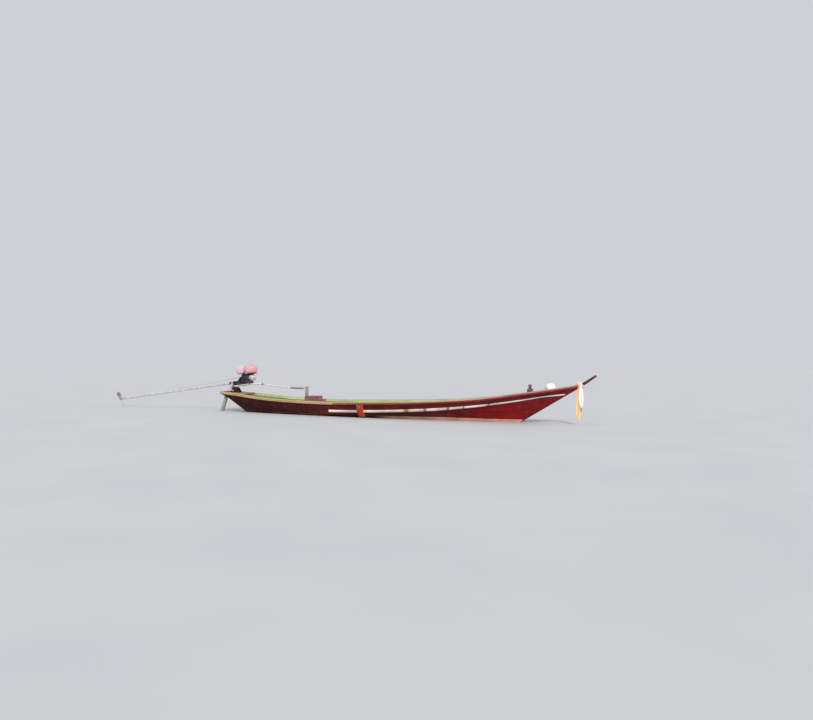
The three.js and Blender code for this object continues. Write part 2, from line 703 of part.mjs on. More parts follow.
// Helmsman's box on the floorboards, open-topped, with a lower tray at its forward end
const helmBox = { aft: -1945, step: -1650, fore: -1545, half: 160, top: 396, trayTop: 346, wall: 16 };
const boxFloor = floorHeight + seam + 0.5;
const boxBlank = sidePlate([
  [helmBox.aft, boxFloor],
  [helmBox.fore, boxFloor],
  [helmBox.fore, helmBox.trayTop],
  [helmBox.step, helmBox.trayTop],
  [helmBox.step, helmBox.top],
  [helmBox.aft, helmBox.top],
], -helmBox.half, helmBox.half);
const hollowHalf = helmBox.half - helmBox.wall;
const boxHollow = box(helmBox.aft + helmBox.wall, helmBox.step - helmBox.wall, -hollowHalf, hollowHalf,
  boxFloor + helmBox.wall, helmBox.top + 20);
const trayHollow = box(helmBox.step, helmBox.fore - helmBox.wall, -hollowHalf, hollowHalf,
  helmBox.trayTop - 60, helmBox.trayTop + 20);
addPiece('helm_box', cut(boxBlank, boxHollow, trayHollow), boxPaint);

// Hinged lid of the helmsman's box
const lid = { thickness: 20, overhang: 10, aft: helmBox.aft + 7, hingeX: helmBox.step - 8 };
const lidHalf = helmBox.half + lid.overhang;
const lidUnder = helmBox.top + 2 * seam;
addPiece('helm_box_lid', box(lid.aft, lid.hingeX, -lidHalf, lidHalf, lidUnder, lidUnder + lid.thickness), boxPaint);

// Post that the tiller comes down beside, behind the helmsman's box
const restPost = { fore: helmBox.aft - seam, deep: 60, half: 28, top: 628 };
addPiece('tiller_post', box(restPost.fore - restPost.deep, restPost.fore, -restPost.half, restPost.half,
  floorHeight + seam + 0.5, restPost.top), greyWood);

// Swivel yoke: turns in the post head on its pin and carries the tilt axle
const yoke = { plateTop: 617, halfX: 28, armInner: 45.5, armOuter: 57.5, top: 704, axleBore: 10.4 };
const yokePlate = box(pivot.x - yoke.halfX, pivot.x + yoke.halfX, -yoke.armOuter, yoke.armOuter,
  postHead.top + seam, yoke.plateTop);
const yokeArm = (inner, outer) => box(pivot.x - yoke.halfX, pivot.x + yoke.halfX, inner, outer,
  yoke.plateTop - 5, yoke.top);
const yokePin = bar('z', pin.foot, postHead.top + 5, pin.radius, 20).translate(pivot.x, 0, 0);
const axleBore = bar('y', -80, 80, yoke.axleBore, 20).translate(pivot.x, 0, pivot.z);
addPiece('swivel_yoke', cut(
  join(yokePlate, yokeArm(yoke.armInner, yoke.armOuter), yokeArm(-yoke.armOuter, -yoke.armInner), yokePin),
  axleBore,
), darkSteel);

// The engine and its long shaft, in a frame of their own: x runs up the shaft line towards the bow
const shaftSlope = 8.15;
const tail = new THREE.Group();
tail.position.set(pivot.x, 0, pivot.z);
tail.rotation.y = -radians(shaftSlope);
boat.add(tail);

const block = { halfX: 32, halfY: 39.5, halfZ: 30 };
const axle = { radius: 9.8, half: 62 };
const runner = { inner: 68, outer: 92, under: -98, top: -70, fore: 480 };
const crossbar = { aft: 50, fore: 76 };
const tillerBar = { aft: 230, fore: 262 };
const cradleParts = [
  box(-block.halfX, block.halfX, -block.halfY, block.halfY, -block.halfZ, block.halfZ),
  bar('y', -axle.half, axle.half, axle.radius, 20),
  box(block.halfX - 6, crossbar.fore, -block.halfY, block.halfY, -block.halfZ, block.halfZ),
  box(crossbar.aft, crossbar.fore, -runner.outer, runner.outer, runner.under, block.halfZ),
  box(crossbar.aft, runner.fore, runner.inner, runner.outer, runner.under, runner.top),
  box(crossbar.aft, runner.fore, -runner.outer, -runner.inner, runner.under, runner.top),
  box(tillerBar.aft, tillerBar.fore, -runner.outer, runner.outer, runner.under, runner.top),
];
addPiece('engine_cradle', join(...cradleParts), darkSteel, tail);

// Engine: crankcase, finned cylinder, air cleaner, tank with its cap, fan cover and silencer
const crankcase = { aft: 130, fore: 487, half: 118, under: runner.top + seam, top: 118, slopeFoot: -32 };
const crankcaseAftAt = (z) => crankcase.aft + z - crankcase.slopeFoot;
addPiece('crankcase', sidePlate([
  [crankcase.aft, crankcase.under],
  [crankcase.fore, crankcase.under],
  [crankcase.fore, crankcase.top],
  [crankcaseAftAt(crankcase.top), crankcase.top],
  [crankcase.aft, crankcase.slopeFoot],
], -crankcase.half, crankcase.half), aluminium, tail);

const cylinder = { aft: 290, fore: 400, half: 88, under: crankcase.top + seam, lead: 3, fins: 5, fin: 5, pitch: 11 };
const finBoxes = Array.from({ length: cylinder.fins }, (_, i) => box(
  cylinder.aft, cylinder.fore, -cylinder.half, cylinder.half,
  cylinder.under + cylinder.lead + i * cylinder.pitch, cylinder.under + cylinder.lead + i * cylinder.pitch + cylinder.fin,
));
const cylinderTop = cylinder.under + cylinder.lead + cylinder.fins * cylinder.pitch;
addPiece('cylinder_fins', join(
  box(cylinder.aft + 14, cylinder.fore - 14, -cylinder.half + 14, cylinder.half - 14, cylinder.under, cylinderTop),
  ...finBoxes,
), aluminium, tail);

addPiece('air_cleaner', roundedBox(136, 354, -92, 92, cylinderTop + seam, 392, 44, 3), filterPlastic, tail);
const tank = { aft: 411, fore: 651, half: 132, under: 158, top: 353, round: 56 };
addPiece('tank_bracket', join(
  box(410, 480, -90, 90, crankcase.top + seam, tank.under - seam),
  box(410, 630, -90, 90, tank.under - 12, tank.under - seam),
), darkSteel, tail);
addPiece('fuel_tank', roundedBox(tank.aft, tank.fore, -tank.half, tank.half, tank.under, tank.top, tank.round, 3),
  tankPaint, tail);
addPiece('tank_cap', bar('z', tank.top + seam, tank.top + 24, 34, 16).translate(531, 0, 0), darkSteel, tail);
const fan = { x: crankcase.fore + seam, z: 62 };
addPiece('fan_cover', turnedOnX([
  [fan.x, 0],
  [fan.x, 78],
  [fan.x + 62, 78],
  [fan.x + 106, 66],
  [fan.x + 136, 39],
  [fan.x + 144, 0],
], 24).translate(0, 0, fan.z), coverPaint, tail);
addPiece('muffler', roundedBox(300, 470, crankcase.half + seam, crankcase.half + 82, 20, 112, 16), darkSteel, tail);

// Shaft coupling, the long shaft tube and its propeller guard fin
const coupling = { aft: -92, fore: -block.halfX - seam, radius: 36 };
const tubeRadius = 28;
const tubeEnd = -3336;
addPiece('shaft_coupling', turnedOnX([
  [coupling.aft, 0],
  [coupling.aft, 30],
  [coupling.aft + 26, coupling.radius],
  [coupling.fore, coupling.radius],
  [coupling.fore, 0],
]), darkSteel, tail);
const shaftEnd = { reach: 62, radius: 11, bore: 11.5 };
addPiece('shaft_tube', turnedOnX([
  [tubeEnd - shaftEnd.reach, 0],
  [tubeEnd - shaftEnd.reach, shaftEnd.radius],
  [tubeEnd, shaftEnd.radius],
  [tubeEnd, tubeRadius - 4],
  [tubeEnd + 30, tubeRadius],
  [coupling.aft - seam, tubeRadius],
  [coupling.aft - seam, 0],
]), steel, tail);
// Stay from the crankcase down to a foot on the shaft tube
const stay = { radius: 8, top: [262, 110], foot: [-1572, 38], tabLow: 80, tabHigh: 116, tabDeep: 22 };
const stayRun = V(stay.top[0] - stay.foot[0], 0, stay.top[1] - stay.foot[1]);
const stayRod = bar('x', 0, stayRun.length(), stay.radius, 10)
  .rotateY(-Math.atan2(stayRun.z, stayRun.x)).translate(stay.foot[0], 0, stay.foot[1]);
addPiece('shaft_stay', join(
  stayRod,
  sidePlate([
    [crankcaseAftAt(stay.tabLow) - stay.tabDeep, stay.tabLow],
    [crankcaseAftAt(stay.tabLow) - 0.5, stay.tabLow],
    [crankcaseAftAt(stay.tabHigh) - 0.5, stay.tabHigh],
    [crankcaseAftAt(stay.tabHigh) - stay.tabDeep, stay.tabHigh],
  ], -18, 18),
  box(stay.foot[0] - 34, stay.foot[0] + 34, -10, 10, tubeRadius + seam, stay.foot[1] + 5),
), steel, tail);

// Propeller: a hub with two twisted blades, behind the tube's end
const prop = { aft: tubeEnd - 96, fore: tubeEnd - 6, hubRadius: 26, bladeRadius: 190, bladeWide: 92, pitch: 34, turn: 25 };
const hub = turnedOnX([
  [prop.aft, 0],
  [prop.aft + 14, prop.hubRadius - 10],
  [prop.aft + 34, prop.hubRadius],
  [prop.fore, prop.hubRadius],
  [prop.fore, shaftEnd.bore],
  [tubeEnd - shaftEnd.reach - 2 * seam, shaftEnd.bore],
  [tubeEnd - shaftEnd.reach - 2 * seam, 0],
]);
const bladeRows = [
  // radius as a share of the blade's, width as a share of the blade's, turn beyond the tip's pitch
  [0.1, 0.55, 24],
  [0.4, 0.95, 12],
  [0.7, 1.0, 4],
  [0.92, 0.7, 0],
  [1.0, 0.3, 0],
];
const blade = (turn) => {
  const rings = bladeRows.map(([reach, wide, extra]) => {
    const angle = radians(prop.pitch + extra);
    const half = (prop.bladeWide * wide) / 2;
    return [[-1, 0], [0, 5], [1, 0], [0, -5]].map(([across, thick]) => V(
      across * half * Math.sin(angle) + thick * Math.cos(angle),
      across * half * Math.cos(angle) - thick * Math.sin(angle),
      reach * prop.bladeRadius,
    ));
  });
  return loft(rings, 'xy').rotateX(turn).translate((prop.aft + prop.fore) / 2 + 4, 0, 0);
};
const hubBore = bar('x', tubeEnd - shaftEnd.reach - 2 * seam, prop.fore + 1, shaftEnd.bore, 20);
addPiece('propeller', cut(join(hub, blade(radians(prop.turn)), blade(radians(prop.turn) + Math.PI)), hubBore), brass, tail);

// Tiller: a bent tube from the cradle forward to the helmsman, with a grip on its end
const tillerPath = new THREE.CatmullRomCurve3([
  V(tillerBar.fore + 2, 0, -94),
  V(500, 0, -91),
  V(747, 0, -117),
  V(931, 0, -161),
  V(1296, 0, -247),
  V(1606, 0, -315),
  V(1862, 0, -355),
], false, 'centripetal');
const tillerRadius = 15;
const gripFrom = 0.79;
function tubeAlong(from, to, radius, parts, sidesAround = 10) {
  const path = new THREE.CatmullRomCurve3(steps(from, to, parts).map((place) => tillerPath.getPointAt(place)));
  const section = new THREE.Shape(steps(0, 1, sidesAround).slice(0, -1).map((turn) => new THREE.Vector2(
    radius * Math.cos(2 * Math.PI * turn),
    radius * Math.sin(2 * Math.PI * turn),
  )));
  return new THREE.ExtrudeGeometry(section, { steps: parts, extrudePath: path, bevelEnabled: false });
}
const gripGap = seam / 2 / tillerPath.getLength();
addPiece('tiller_tube', join(
  tubeAlong(0, gripFrom - gripGap, tillerRadius, 16),
  box(tillerBar.fore + seam, tillerBar.fore + 26, -22, 22, -118, -72),
), steel, tail);
addPiece('tiller_grip', tubeAlong(gripFrom + gripGap, 1, 21, 6, 12), gripRubber, tail);

export default boat;
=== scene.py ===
import functools
import math

import bpy
import numpy as np
from mathutils import Matrix, Vector


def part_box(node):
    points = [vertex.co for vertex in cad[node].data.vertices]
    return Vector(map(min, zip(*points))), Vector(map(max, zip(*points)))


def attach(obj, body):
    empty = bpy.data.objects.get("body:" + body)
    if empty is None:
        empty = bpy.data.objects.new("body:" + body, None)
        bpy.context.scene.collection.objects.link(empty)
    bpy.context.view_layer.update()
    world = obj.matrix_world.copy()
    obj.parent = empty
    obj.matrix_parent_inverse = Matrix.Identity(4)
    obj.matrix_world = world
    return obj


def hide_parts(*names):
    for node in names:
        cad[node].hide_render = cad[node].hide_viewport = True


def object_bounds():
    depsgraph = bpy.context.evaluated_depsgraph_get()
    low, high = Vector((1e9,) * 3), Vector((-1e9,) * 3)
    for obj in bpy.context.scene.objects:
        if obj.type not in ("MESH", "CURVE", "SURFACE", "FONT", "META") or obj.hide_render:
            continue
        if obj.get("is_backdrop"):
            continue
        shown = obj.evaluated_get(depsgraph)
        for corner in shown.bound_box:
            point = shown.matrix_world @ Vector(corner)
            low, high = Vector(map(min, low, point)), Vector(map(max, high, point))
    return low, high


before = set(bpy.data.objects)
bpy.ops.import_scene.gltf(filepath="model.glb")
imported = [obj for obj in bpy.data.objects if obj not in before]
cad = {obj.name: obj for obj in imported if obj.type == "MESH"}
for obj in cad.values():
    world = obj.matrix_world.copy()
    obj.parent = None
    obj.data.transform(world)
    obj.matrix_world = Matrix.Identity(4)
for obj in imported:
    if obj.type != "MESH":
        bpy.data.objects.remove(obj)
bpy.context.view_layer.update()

# Camera: a standing eye on the bank, looking across the starboard side from ahead of amidships. The
# boat leans a little away from the bank, so the eye is turned down about her near side by as much.
eye = Vector((5.822, -14.83, 1.76))
heading = math.radians(19.8)
dip = math.radians(1.83)
lean = math.radians(2.3)
lean_line = -0.30
picture_wide = 813
focal_length = 720
looking = Vector((-math.sin(heading) * math.cos(dip), math.cos(heading) * math.cos(dip), -math.sin(dip)))
camera_data = bpy.data.cameras.new("camera")
camera_data.sensor_width = 36.0
camera_data.lens = focal_length / picture_wide * camera_data.sensor_width
camera_data.clip_end = 600
camera = bpy.data.objects.new("camera", camera_data)
leaning = Matrix.Translation((0, lean_line, 0)) @ Matrix.Rotation(lean, 4, "X")
leaning = leaning @ Matrix.Translation((0, -lean_line, 0))
seen_from = leaning @ Matrix.Translation(eye) @ looking.to_track_quat("-Z", "Y").to_matrix().to_4x4()
camera.location = seen_from.translation
camera.rotation_euler = seen_from.to_euler()
bpy.context.scene.collection.objects.link(camera)
bpy.context.scene.camera = camera

# Hull lines: the planks follow four long curves on each side, through the stations below.
# The half-breadths and heights are those of the outside of the planking, and each line's own x
# comes from where it starts on the raked transom and ends on the raked stem.
planking = 0.022
rail_depth = 0.058
stem_half = 0.030
seam = 0.0003
fore_break, aft_break = 1.2, -2.8
station_rows = [
    # x, rail half, rail top z, rub half, rub z, chine half, chine z, keel z
    (-4.157, 0.235, 0.472, 0.250, 0.345, 0.240, 0.090, -0.050),
    (-3.700, 0.325, 0.441, 0.330, 0.278, 0.285, 0.072, -0.095),
    (-3.300, 0.415, 0.408, 0.395, 0.228, 0.330, 0.058, -0.125),
    (-2.800, 0.485, 0.368, 0.455, 0.187, 0.370, 0.048, -0.145),
    (-2.200, 0.545, 0.341, 0.515, 0.150, 0.420, 0.042, -0.165),
    (-1.200, 0.615, 0.326, 0.580, 0.128, 0.475, 0.042, -0.190),
    (0.000, 0.640, 0.358, 0.600, 0.160, 0.480, 0.056, -0.190),
    (1.200, 0.590, 0.408, 0.545, 0.232, 0.405, 0.070, -0.170),
    (2.200, 0.465, 0.490, 0.410, 0.325, 0.285, 0.066, -0.135),
    (3.100, 0.290, 0.625, 0.235, 0.452, 0.165, 0.060, -0.095),
    (3.700, 0.160, 0.722, 0.115, 0.553, 0.095, 0.060, -0.055),
    (4.170, 0.053, 0.806, 0.053, 0.606, 0.053, 0.064, -0.015),
]
rail_ends = (-4.157, 4.170)
line_ends = {"rail": rail_ends, "rub": (-3.957, 3.935), "chine": (-3.549, 3.055), "keel": (-3.325, 2.958)}
line_columns = {"rail": (1, 2), "rub": (3, 4), "chine": (5, 6), "keel": (None, 7)}


def line_x(line, x):
    aft, fore = line_ends[line]
    if x > fore_break:
        return fore_break + (x - fore_break) * (fore - fore_break) / (rail_ends[1] - fore_break)
    if x < aft_break:
        return aft_break + (x - aft_break) * (aft - aft_break) / (rail_ends[0] - aft_break)
    return x


def line_points(line):
    half, height = line_columns[line]
    return np.array([
        (line_x(line, row[0]), stem_half + seam if half is None else row[half], row[height])
        for row in station_rows
    ])


def along_curve(points, share):
    """A point on the centripetal Catmull-Rom curve through the points, at a share of its spans."""
    spans = len(points) - 1
    start = min(int(share * spans), spans - 1)
    step = share * spans - start
    here, there = points[start], points[start + 1]
    before = points[start - 1] if start > 0 else 2 * here - there
    after = points[start + 2] if start + 2 <= spans else 2 * there - here
    gaps = [math.sqrt(np.linalg.norm(b - a)) for a, b in ((before, here), (here, there), (there, after))]
    leave = (here - before) / gaps[0] - (there - before) / (gaps[0] + gaps[1]) + (there - here) / gaps[1]
    arrive = (there - here) / gaps[1] - (after - here) / (gaps[1] + gaps[2]) + (after - there) / gaps[2]
    leave, arrive = leave * gaps[1], arrive * gaps[1]
    bend = -3 * here + 3 * there - 2 * leave - arrive
    twist = 2 * here - 2 * there + leave + arrive
    return here + leave * step + bend * step**2 + twist * step**3


hull_lines = {line: line_points(line) for line in line_ends}
bilge_out, bilge_up = 0.58, 0.26
keel_rounds, search_rounds = 12, 40


@functools.lru_cache(None)
def section(along):
    """Corners of the planking at one station: keel, bilge, chine, rub line and the edge under the rail."""
    rail, rub, chine, keel = (along_curve(points, along) for points in hull_lines.values())
    bilge = keel + (chine - keel) * (bilge_out, bilge_out, bilge_up)
    inner_half = keel[1]
    for _ in range(keel_rounds):
        bilge[1] = keel[1] + (chine[1] - keel[1]) * bilge_out
        keel[1] = inner_half + planking * math.sin(math.atan2(bilge[2] - keel[2], bilge[1] - keel[1]))
    return np.array([keel, bilge, chine, rub, rail - (0, 0, rail_depth)])


@functools.lru_cache(None)
def shell(along, out):
    """The same corners, moved out square to the planks."""
    corners = section(along)
    spans = np.diff(corners[:, 1:], axis=0)
    spans /= np.linalg.norm(spans, axis=1)[:, None]
    normals = np.stack([spans[:, 1], -spans[:, 0]], axis=1)
    moved = corners.copy()
    for index in range(5):
        after = normals[min(index, 3)]
        miter = normals[max(index - 1, 0)] + after
        miter /= np.linalg.norm(miter)
        if index == 4:
            moved[index, 1] += out / miter[0]
        else:
            moved[index, 1:] += miter * out / max(miter @ after, 0.5)
    return moved


def skin(along, level, out=0.0, side=1):
    """A point of the hull: level runs from 0 at the keel to 4 under the rail."""
    moved = shell(along, out)
    below = min(int(level), 3)
    return (moved[below] + (moved[below + 1] - moved[below]) * (level - below)) * (1, side, 1)


def level_from(along, level, distance):
    corners = section(along)
    upper = math.floor(level) + 1 if distance > 0 else math.ceil(level)
    return level + distance / np.linalg.norm(corners[upper] - corners[upper - 1])


def bisected(reaches, low, high):
    for _ in range(search_rounds):
        middle = (low + high) / 2
        if reaches(middle):
            high = middle
        else:
            low = middle
    return (low + high) / 2


@functools.lru_cache(None)
def along_at(x, level=4.0):
    return bisected(lambda along: skin(along, level)[0] >= x, 0.0, 1.0)


def inside_at(along, height, clear):
    out = -planking - clear
    level = bisected(lambda level: skin(along, level, out)[2] >= height, 0.0, 4.0)
    return skin(along, level, out)


def inside_half(x, height, clear=seam):
    """Half-breadth inside the planking at one x and height."""
    along = bisected(lambda along: inside_at(along, height, clear)[0] >= x, 0.0, 1.0)
    return inside_at(along, height, clear)[1]


# Planking: carvel planks of red hardwood, nailed edge to edge to the ribs. The bottom has four
# planks a side, the side three and the top one. Outside it is maroon and red oil paint, with cream
# on the forward bottom and painted shade, dark maroon, on the bottom aft of midships, where it
# faces down. Inside it is lime green.
strip_shift_along, strip_shift_round = 1.37, 0.41


def runs_of(points):
    """Length along a line of points, from its first to each."""
    return np.concatenate([[0], np.cumsum(np.linalg.norm(np.diff(points, axis=0), axis=1))])


def placed(name, mesh):
    piece = bpy.data.objects.new(name, mesh)
    bpy.context.scene.collection.objects.link(piece)
    return piece


def lofted(name, strips, crease=38, matrix=None):
    """One mesh from closed lofts. Each strip is a list of rings or (rings, marks), and a mark holds a
    number for every point of a ring. The map named Grain runs in metres along and round each strip."""
    points, faces, runs = [], [], []
    strips = [strip if isinstance(strip, tuple) else (strip, {}) for strip in strips]
    marked = {mark: [] for _, marks in strips for mark in marks}
    for index, (rings, marks) in enumerate(strips):
        rings = np.array(rings, float)
        count, around = rings.shape[:2]
        base = len(points)
        run = runs_of(rings.mean(axis=1)) + index * strip_shift_along
        sides = np.linalg.norm(np.roll(rings, -1, axis=1) - rings, axis=2)
        turn = np.concatenate([np.zeros((count, 1)), np.cumsum(sides, axis=1)], axis=1)
        turn += index * strip_shift_round
        own_faces, own_runs = [], []
        for ring in range(count - 1):
            for spot in range(around):
                quad = [(ring, spot), (ring, spot + 1), (ring + 1, spot + 1), (ring + 1, spot)]
                own_faces.append([base + r * around + s % around for r, s in quad])
                own_runs.append([(run[r], turn[r, s]) for r, s in quad])
        for ring, order in ((0, range(around - 1, -1, -1)), (count - 1, range(around))):
            own_faces.append([base + ring * around + spot for spot in order])
            own_runs.append([(run[ring], turn[ring, spot]) for spot in order])
        flat = rings.reshape(-1, 3)
        volume = sum(
            np.dot(flat[face[0] - base], np.cross(flat[face[i] - base], flat[face[i + 1] - base]))
            for face in own_faces for i in range(1, len(face) - 1)
        )
        if volume < 0:
            own_faces = [face[::-1] for face in own_faces]
            own_runs = [face[::-1] for face in own_runs]
        points.extend(flat.tolist())
        faces.extend(own_faces)
        runs.extend(own_runs)
        for mark, values in marked.items():
            values.append(np.broadcast_to(np.array(marks.get(mark, 0.0), float), (count, around)).ravel())
    mesh = bpy.data.meshes.new(name)
    mesh.from_pydata(points, [], faces)
    grain = mesh.uv_layers.new(name="Grain")
    grain.data.foreach_set("uv", np.array([spot for face in runs for spot in face], np.float32).ravel())
    for mark, values in marked.items():
        layer = mesh.attributes.new(mark, "FLOAT", "POINT")
        layer.data.foreach_set("value", np.concatenate(values).astype(np.float32))
    if matrix is not None:
        mesh.transform(matrix)
    mesh.shade_smooth()
    mesh.set_sharp_from_angle(angle=math.radians(crease))
    return placed(name, mesh)


def fitted(piece, body, material, slot, *stood_for):
    """Gives a piece its finish and seats it on its body."""
    piece.data.materials.clear()
    piece.data.materials.append(material)
    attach(piece, body)
    if stood_for:
        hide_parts(*stood_for)
    return piece


def made(name, strips, material, slot, *stood_for, body="hull", crease=38, matrix=None):
    """A new piece of closed lofts, finished and seated."""
    return fitted(lofted(name, strips, crease, matrix), body, material, slot, *stood_for)


def tone(colour):
    """A colour from its screen values, 0 to 255."""
    return tuple(((c / 255 + 0.055) / 1.055) ** 2.4 for c in colour) + (1.0,)


def darker(colour, share):
    return tuple(share * c for c in colour[:3]) + (1.0,)


def add(tree, kind, inputs=None, **settings):
    """A new node. Its inputs take plain values, sockets, or nodes whose first output is meant."""
    node = tree.nodes.new(kind)
    for key, value in settings.items():
        setattr(node, key, value)
    for key, value in (inputs or {}).items():
        if isinstance(value, bpy.types.Node):
            value = value.outputs[0]
        if isinstance(value, bpy.types.NodeSocket):
            tree.links.new(value, node.inputs[key])
        else:
            node.inputs[key].default_value = value
    return node


def blended(tree, share, low, high):
    return add(tree, "ShaderNodeMix", {0: share, 6: low, 7: high}, data_type="RGBA").outputs[2]


def noise(tree, place, scale, stretch=(1, 1, 1), detail=5.0):
    spot = add(tree, "ShaderNodeMapping", {"Vector": place, "Scale": stretch})
    return add(tree, "ShaderNodeTexNoise", {"Vector": spot, "Scale": scale, "Detail": detail}).outputs[0]


def ranged(tree, value, low, high, to_low=0.0, to_high=1.0):
    limits = {"Value": value, "From Min": low, "From Max": high, "To Min": to_low, "To Max": to_high}
    return add(tree, "ShaderNodeMapRange", limits).outputs[0]


def product(tree, value, factor):
    return add(tree, "ShaderNodeMath", {0: value, 1: factor}, operation="MULTIPLY").outputs[0]


def summed(tree, *terms):
    """The sum of (value, weight) terms."""
    total, *rest = [product(tree, value, weight) for value, weight in terms]
    for part in rest:
        total = add(tree, "ShaderNodeMath", {0: total, 1: part}).outputs[0]
    return total


def new_finish(name, **uniform):
    material = bpy.data.materials.new(name)
    material.use_nodes = True
    shader = material.node_tree.nodes["Principled BSDF"]
    for key, value in uniform.items():
        shader.inputs[key.replace("_", " ").title()].default_value = value
    return material, material.node_tree, shader


def object_place(tree):
    return add(tree, "ShaderNodeTexCoord").outputs["Object"]


def mark_of(tree, mark):
    return add(tree, "ShaderNodeAttribute", attribute_name=mark).outputs["Fac"]


def wired(tree, shader, **sources):
    for key, value in sources.items():
        tree.links.new(value, shader.inputs[key.replace("_", " ").title()])


def bumped(tree, shader, height, strength, distance):
    levels = {"Height": height, "Strength": strength, "Distance": distance}
    wired(tree, shader, normal=add(tree, "ShaderNodeBump", levels).outputs[0])


def wood_finish(name, coats, worn_and_highlight, inner=None, grain="map", wear=0.3, gloss=0.55, low_darkening=0.0):
    """Paint or bare wood on planks. The coats are one colour or (x, colour) pairs along the boat."""
    material, tree, shader = new_finish(name)
    shader.inputs["Specular IOR Level"].default_value = 0.15
    place = object_place(tree)
    fibre_place = add(tree, "ShaderNodeUVMap", uv_map="Grain").outputs[0] if grain == "map" else place
    stretch = {"map": (0.05, 1, 1), "x": (0.05, 1, 1), "y": (1, 0.05, 1), "z": (1, 1, 0.05)}[grain]
    fibre = noise(tree, fibre_place, 90, stretch, 6)
    patch = noise(tree, place, 2.6, (1, 1, 2.2), 6)
    fleck = noise(tree, place, 55, detail=3)
    run_off = noise(tree, place, 9, (1, 1, 0.12), 3)
    axes = add(tree, "ShaderNodeSeparateXYZ", {0: place}).outputs
    if isinstance(coats, list):
        aft, fore = coats[0][0], coats[-1][0]
        ramp = add(tree, "ShaderNodeValToRGB", {0: ranged(tree, axes[0], aft, fore)})
        stops = ramp.color_ramp.elements
        for index, (x, colour) in enumerate(coats):
            spot = (x - aft) / (fore - aft)
            stop = stops[index] if index < 2 else stops.new(spot)
            stop.position, stop.color = spot, tone(colour)
        coat = ramp.outputs[0]
    else:
        coat = blended(tree, ranged(tree, patch, 0.35, 0.65), tone(coats), darker(tone(coats), 0.82))
    if inner is not None:
        coat = blended(tree, ranged(tree, mark_of(tree, "inner"), 0.48, 0.52), coat, tone(inner))
    aged = add(tree, "ShaderNodeMix", {
        0: ranged(tree, patch, 0.38, 0.62, 0.1, 0.85), 6: coat, 7: (0.62, 0.60, 0.60, 1.0),
    }, data_type="RGBA", blend_type="MULTIPLY").outputs[2]
    faded = blended(tree, ranged(tree, run_off, 0.55, 0.72, 0.0, 0.035), aged, tone((176, 158, 150)))
    # An edge mark above 1, as on the rails' tops, shows the worn colour as a painted highlight as well as
    # wear.
    rubbed = summed(tree, (patch, 0.55), (fibre, 0.35), (fleck, 0.12), (mark_of(tree, "edge"), 0.16),
                    (mark_of(tree, "inner"), -0.12))
    bare_and_highlight = ranged(tree, rubbed, 0.70 - 0.28 * wear, 0.74 - 0.28 * wear)
    timber = blended(tree, ranged(tree, fibre, 0.35, 0.65), tone(worn_and_highlight), darker(tone(worn_and_highlight), 0.6))
    colour = blended(tree, bare_and_highlight, faded, timber)
    # Low on the piece the colour darkens towards dark brown, from z 0.105 m down to z 0.035 m.
    if low_darkening:
        low_dark_share = ranged(tree, summed(tree, (axes[2], 1.0), (patch, 0.05)), 0.105, 0.035, 0.0, low_darkening)
        colour = blended(tree, low_dark_share, colour, tone((38, 26, 24)))
    rough = ranged(tree, summed(tree, (patch, 0.6), (bare_and_highlight, 0.4)), 0.2, 0.8, gloss - 0.08, gloss + 0.3)
    wired(tree, shader, base_color=colour, roughness=rough)
    bumped(tree, shader, summed(tree, (fibre, 0.6), (fleck, 0.2), (bare_and_highlight, -0.35)), 0.35, 0.0016)
    return material


ochre = (176, 118, 72)
lime = (204, 224, 156)
# The bottom is cream forward; aft of midships it is painted dark maroon as painted shade.
bottom_paint_and_shade = wood_finish("bottom_paint_and_shade", [
    (-4.2, (44, 14, 18)), (-0.1, (52, 22, 20)), (0.35, (206, 164, 146)), (4.2, (212, 168, 150)),
], ochre, inner=lime, wear=0.25)
side_paint = wood_finish("side_paint", [
    (-4.2, (50, 4, 12)), (-2.6, (58, 8, 16)), (-1.7, (98, 22, 22)), (-1.2, (132, 50, 42)),
    (-0.7, (92, 27, 25)), (0.3, (70, 26, 24)), (1.2, (104, 30, 28)), (2.0, (118, 18, 20)),
    (2.8, (140, 20, 26)), (4.2, (122, 28, 36)),
], (128, 66, 58), inner=lime, wear=0.12, low_darkening=0.5)
top_paint = wood_finish("top_paint", [
    (-4.2, (52, 12, 20)), (-1.8, (72, 18, 20)), (-0.8, (94, 26, 23)), (0.4, (86, 24, 20)),
    (2.0, (104, 38, 34)), (4.2, (104, 30, 30)),
], (128, 66, 58), inner=lime, wear=0.08)
plank_stations = np.linspace(0, 1, 113)
plank_ease, plank_gap, plank_crown = 0.0028, 0.0006, 0.0008
sides = {"starboard": -1, "port": 1}


def plank(low, high, side):
    """Rings and marks of one plank between two levels, with eased edges and a slight crown."""
    outline = [
        # edge it is measured from, distance from that edge, distance out, edge mark, inner mark
        (low, plank_gap, -planking, 1, 1),
        (low, plank_gap, -plank_ease, 1, 0),
        (low, plank_gap + 0.3 * plank_ease, -0.3 * plank_ease, 1, 0),
        (low, plank_gap + plank_ease, 0, 0.6, 0),
        (0.3, 0, plank_crown, 0, 0),
        (0.7, 0, plank_crown, 0, 0),
        (high, -plank_gap - plank_ease, 0, 0.6, 0),
        (high, -plank_gap - 0.3 * plank_ease, -0.3 * plank_ease, 1, 0),
        (high, -plank_gap, -plank_ease, 1, 0),
        (high, -plank_gap, -planking, 1, 1),
        (0.7, 0, -planking, 0, 1),
        (0.3, 0, -planking, 0, 1),
    ]
    rings = []
    for along in plank_stations:
        ring = []
        for start, shift, out, _, _ in outline:
            level = level_from(along, start, shift) if shift else low + (high - low) * start
            ring.append(skin(along, level, out, side))
        rings.append(ring)
    return rings, {"edge": [row[3] for row in outline], "inner": [row[4] for row in outline]}


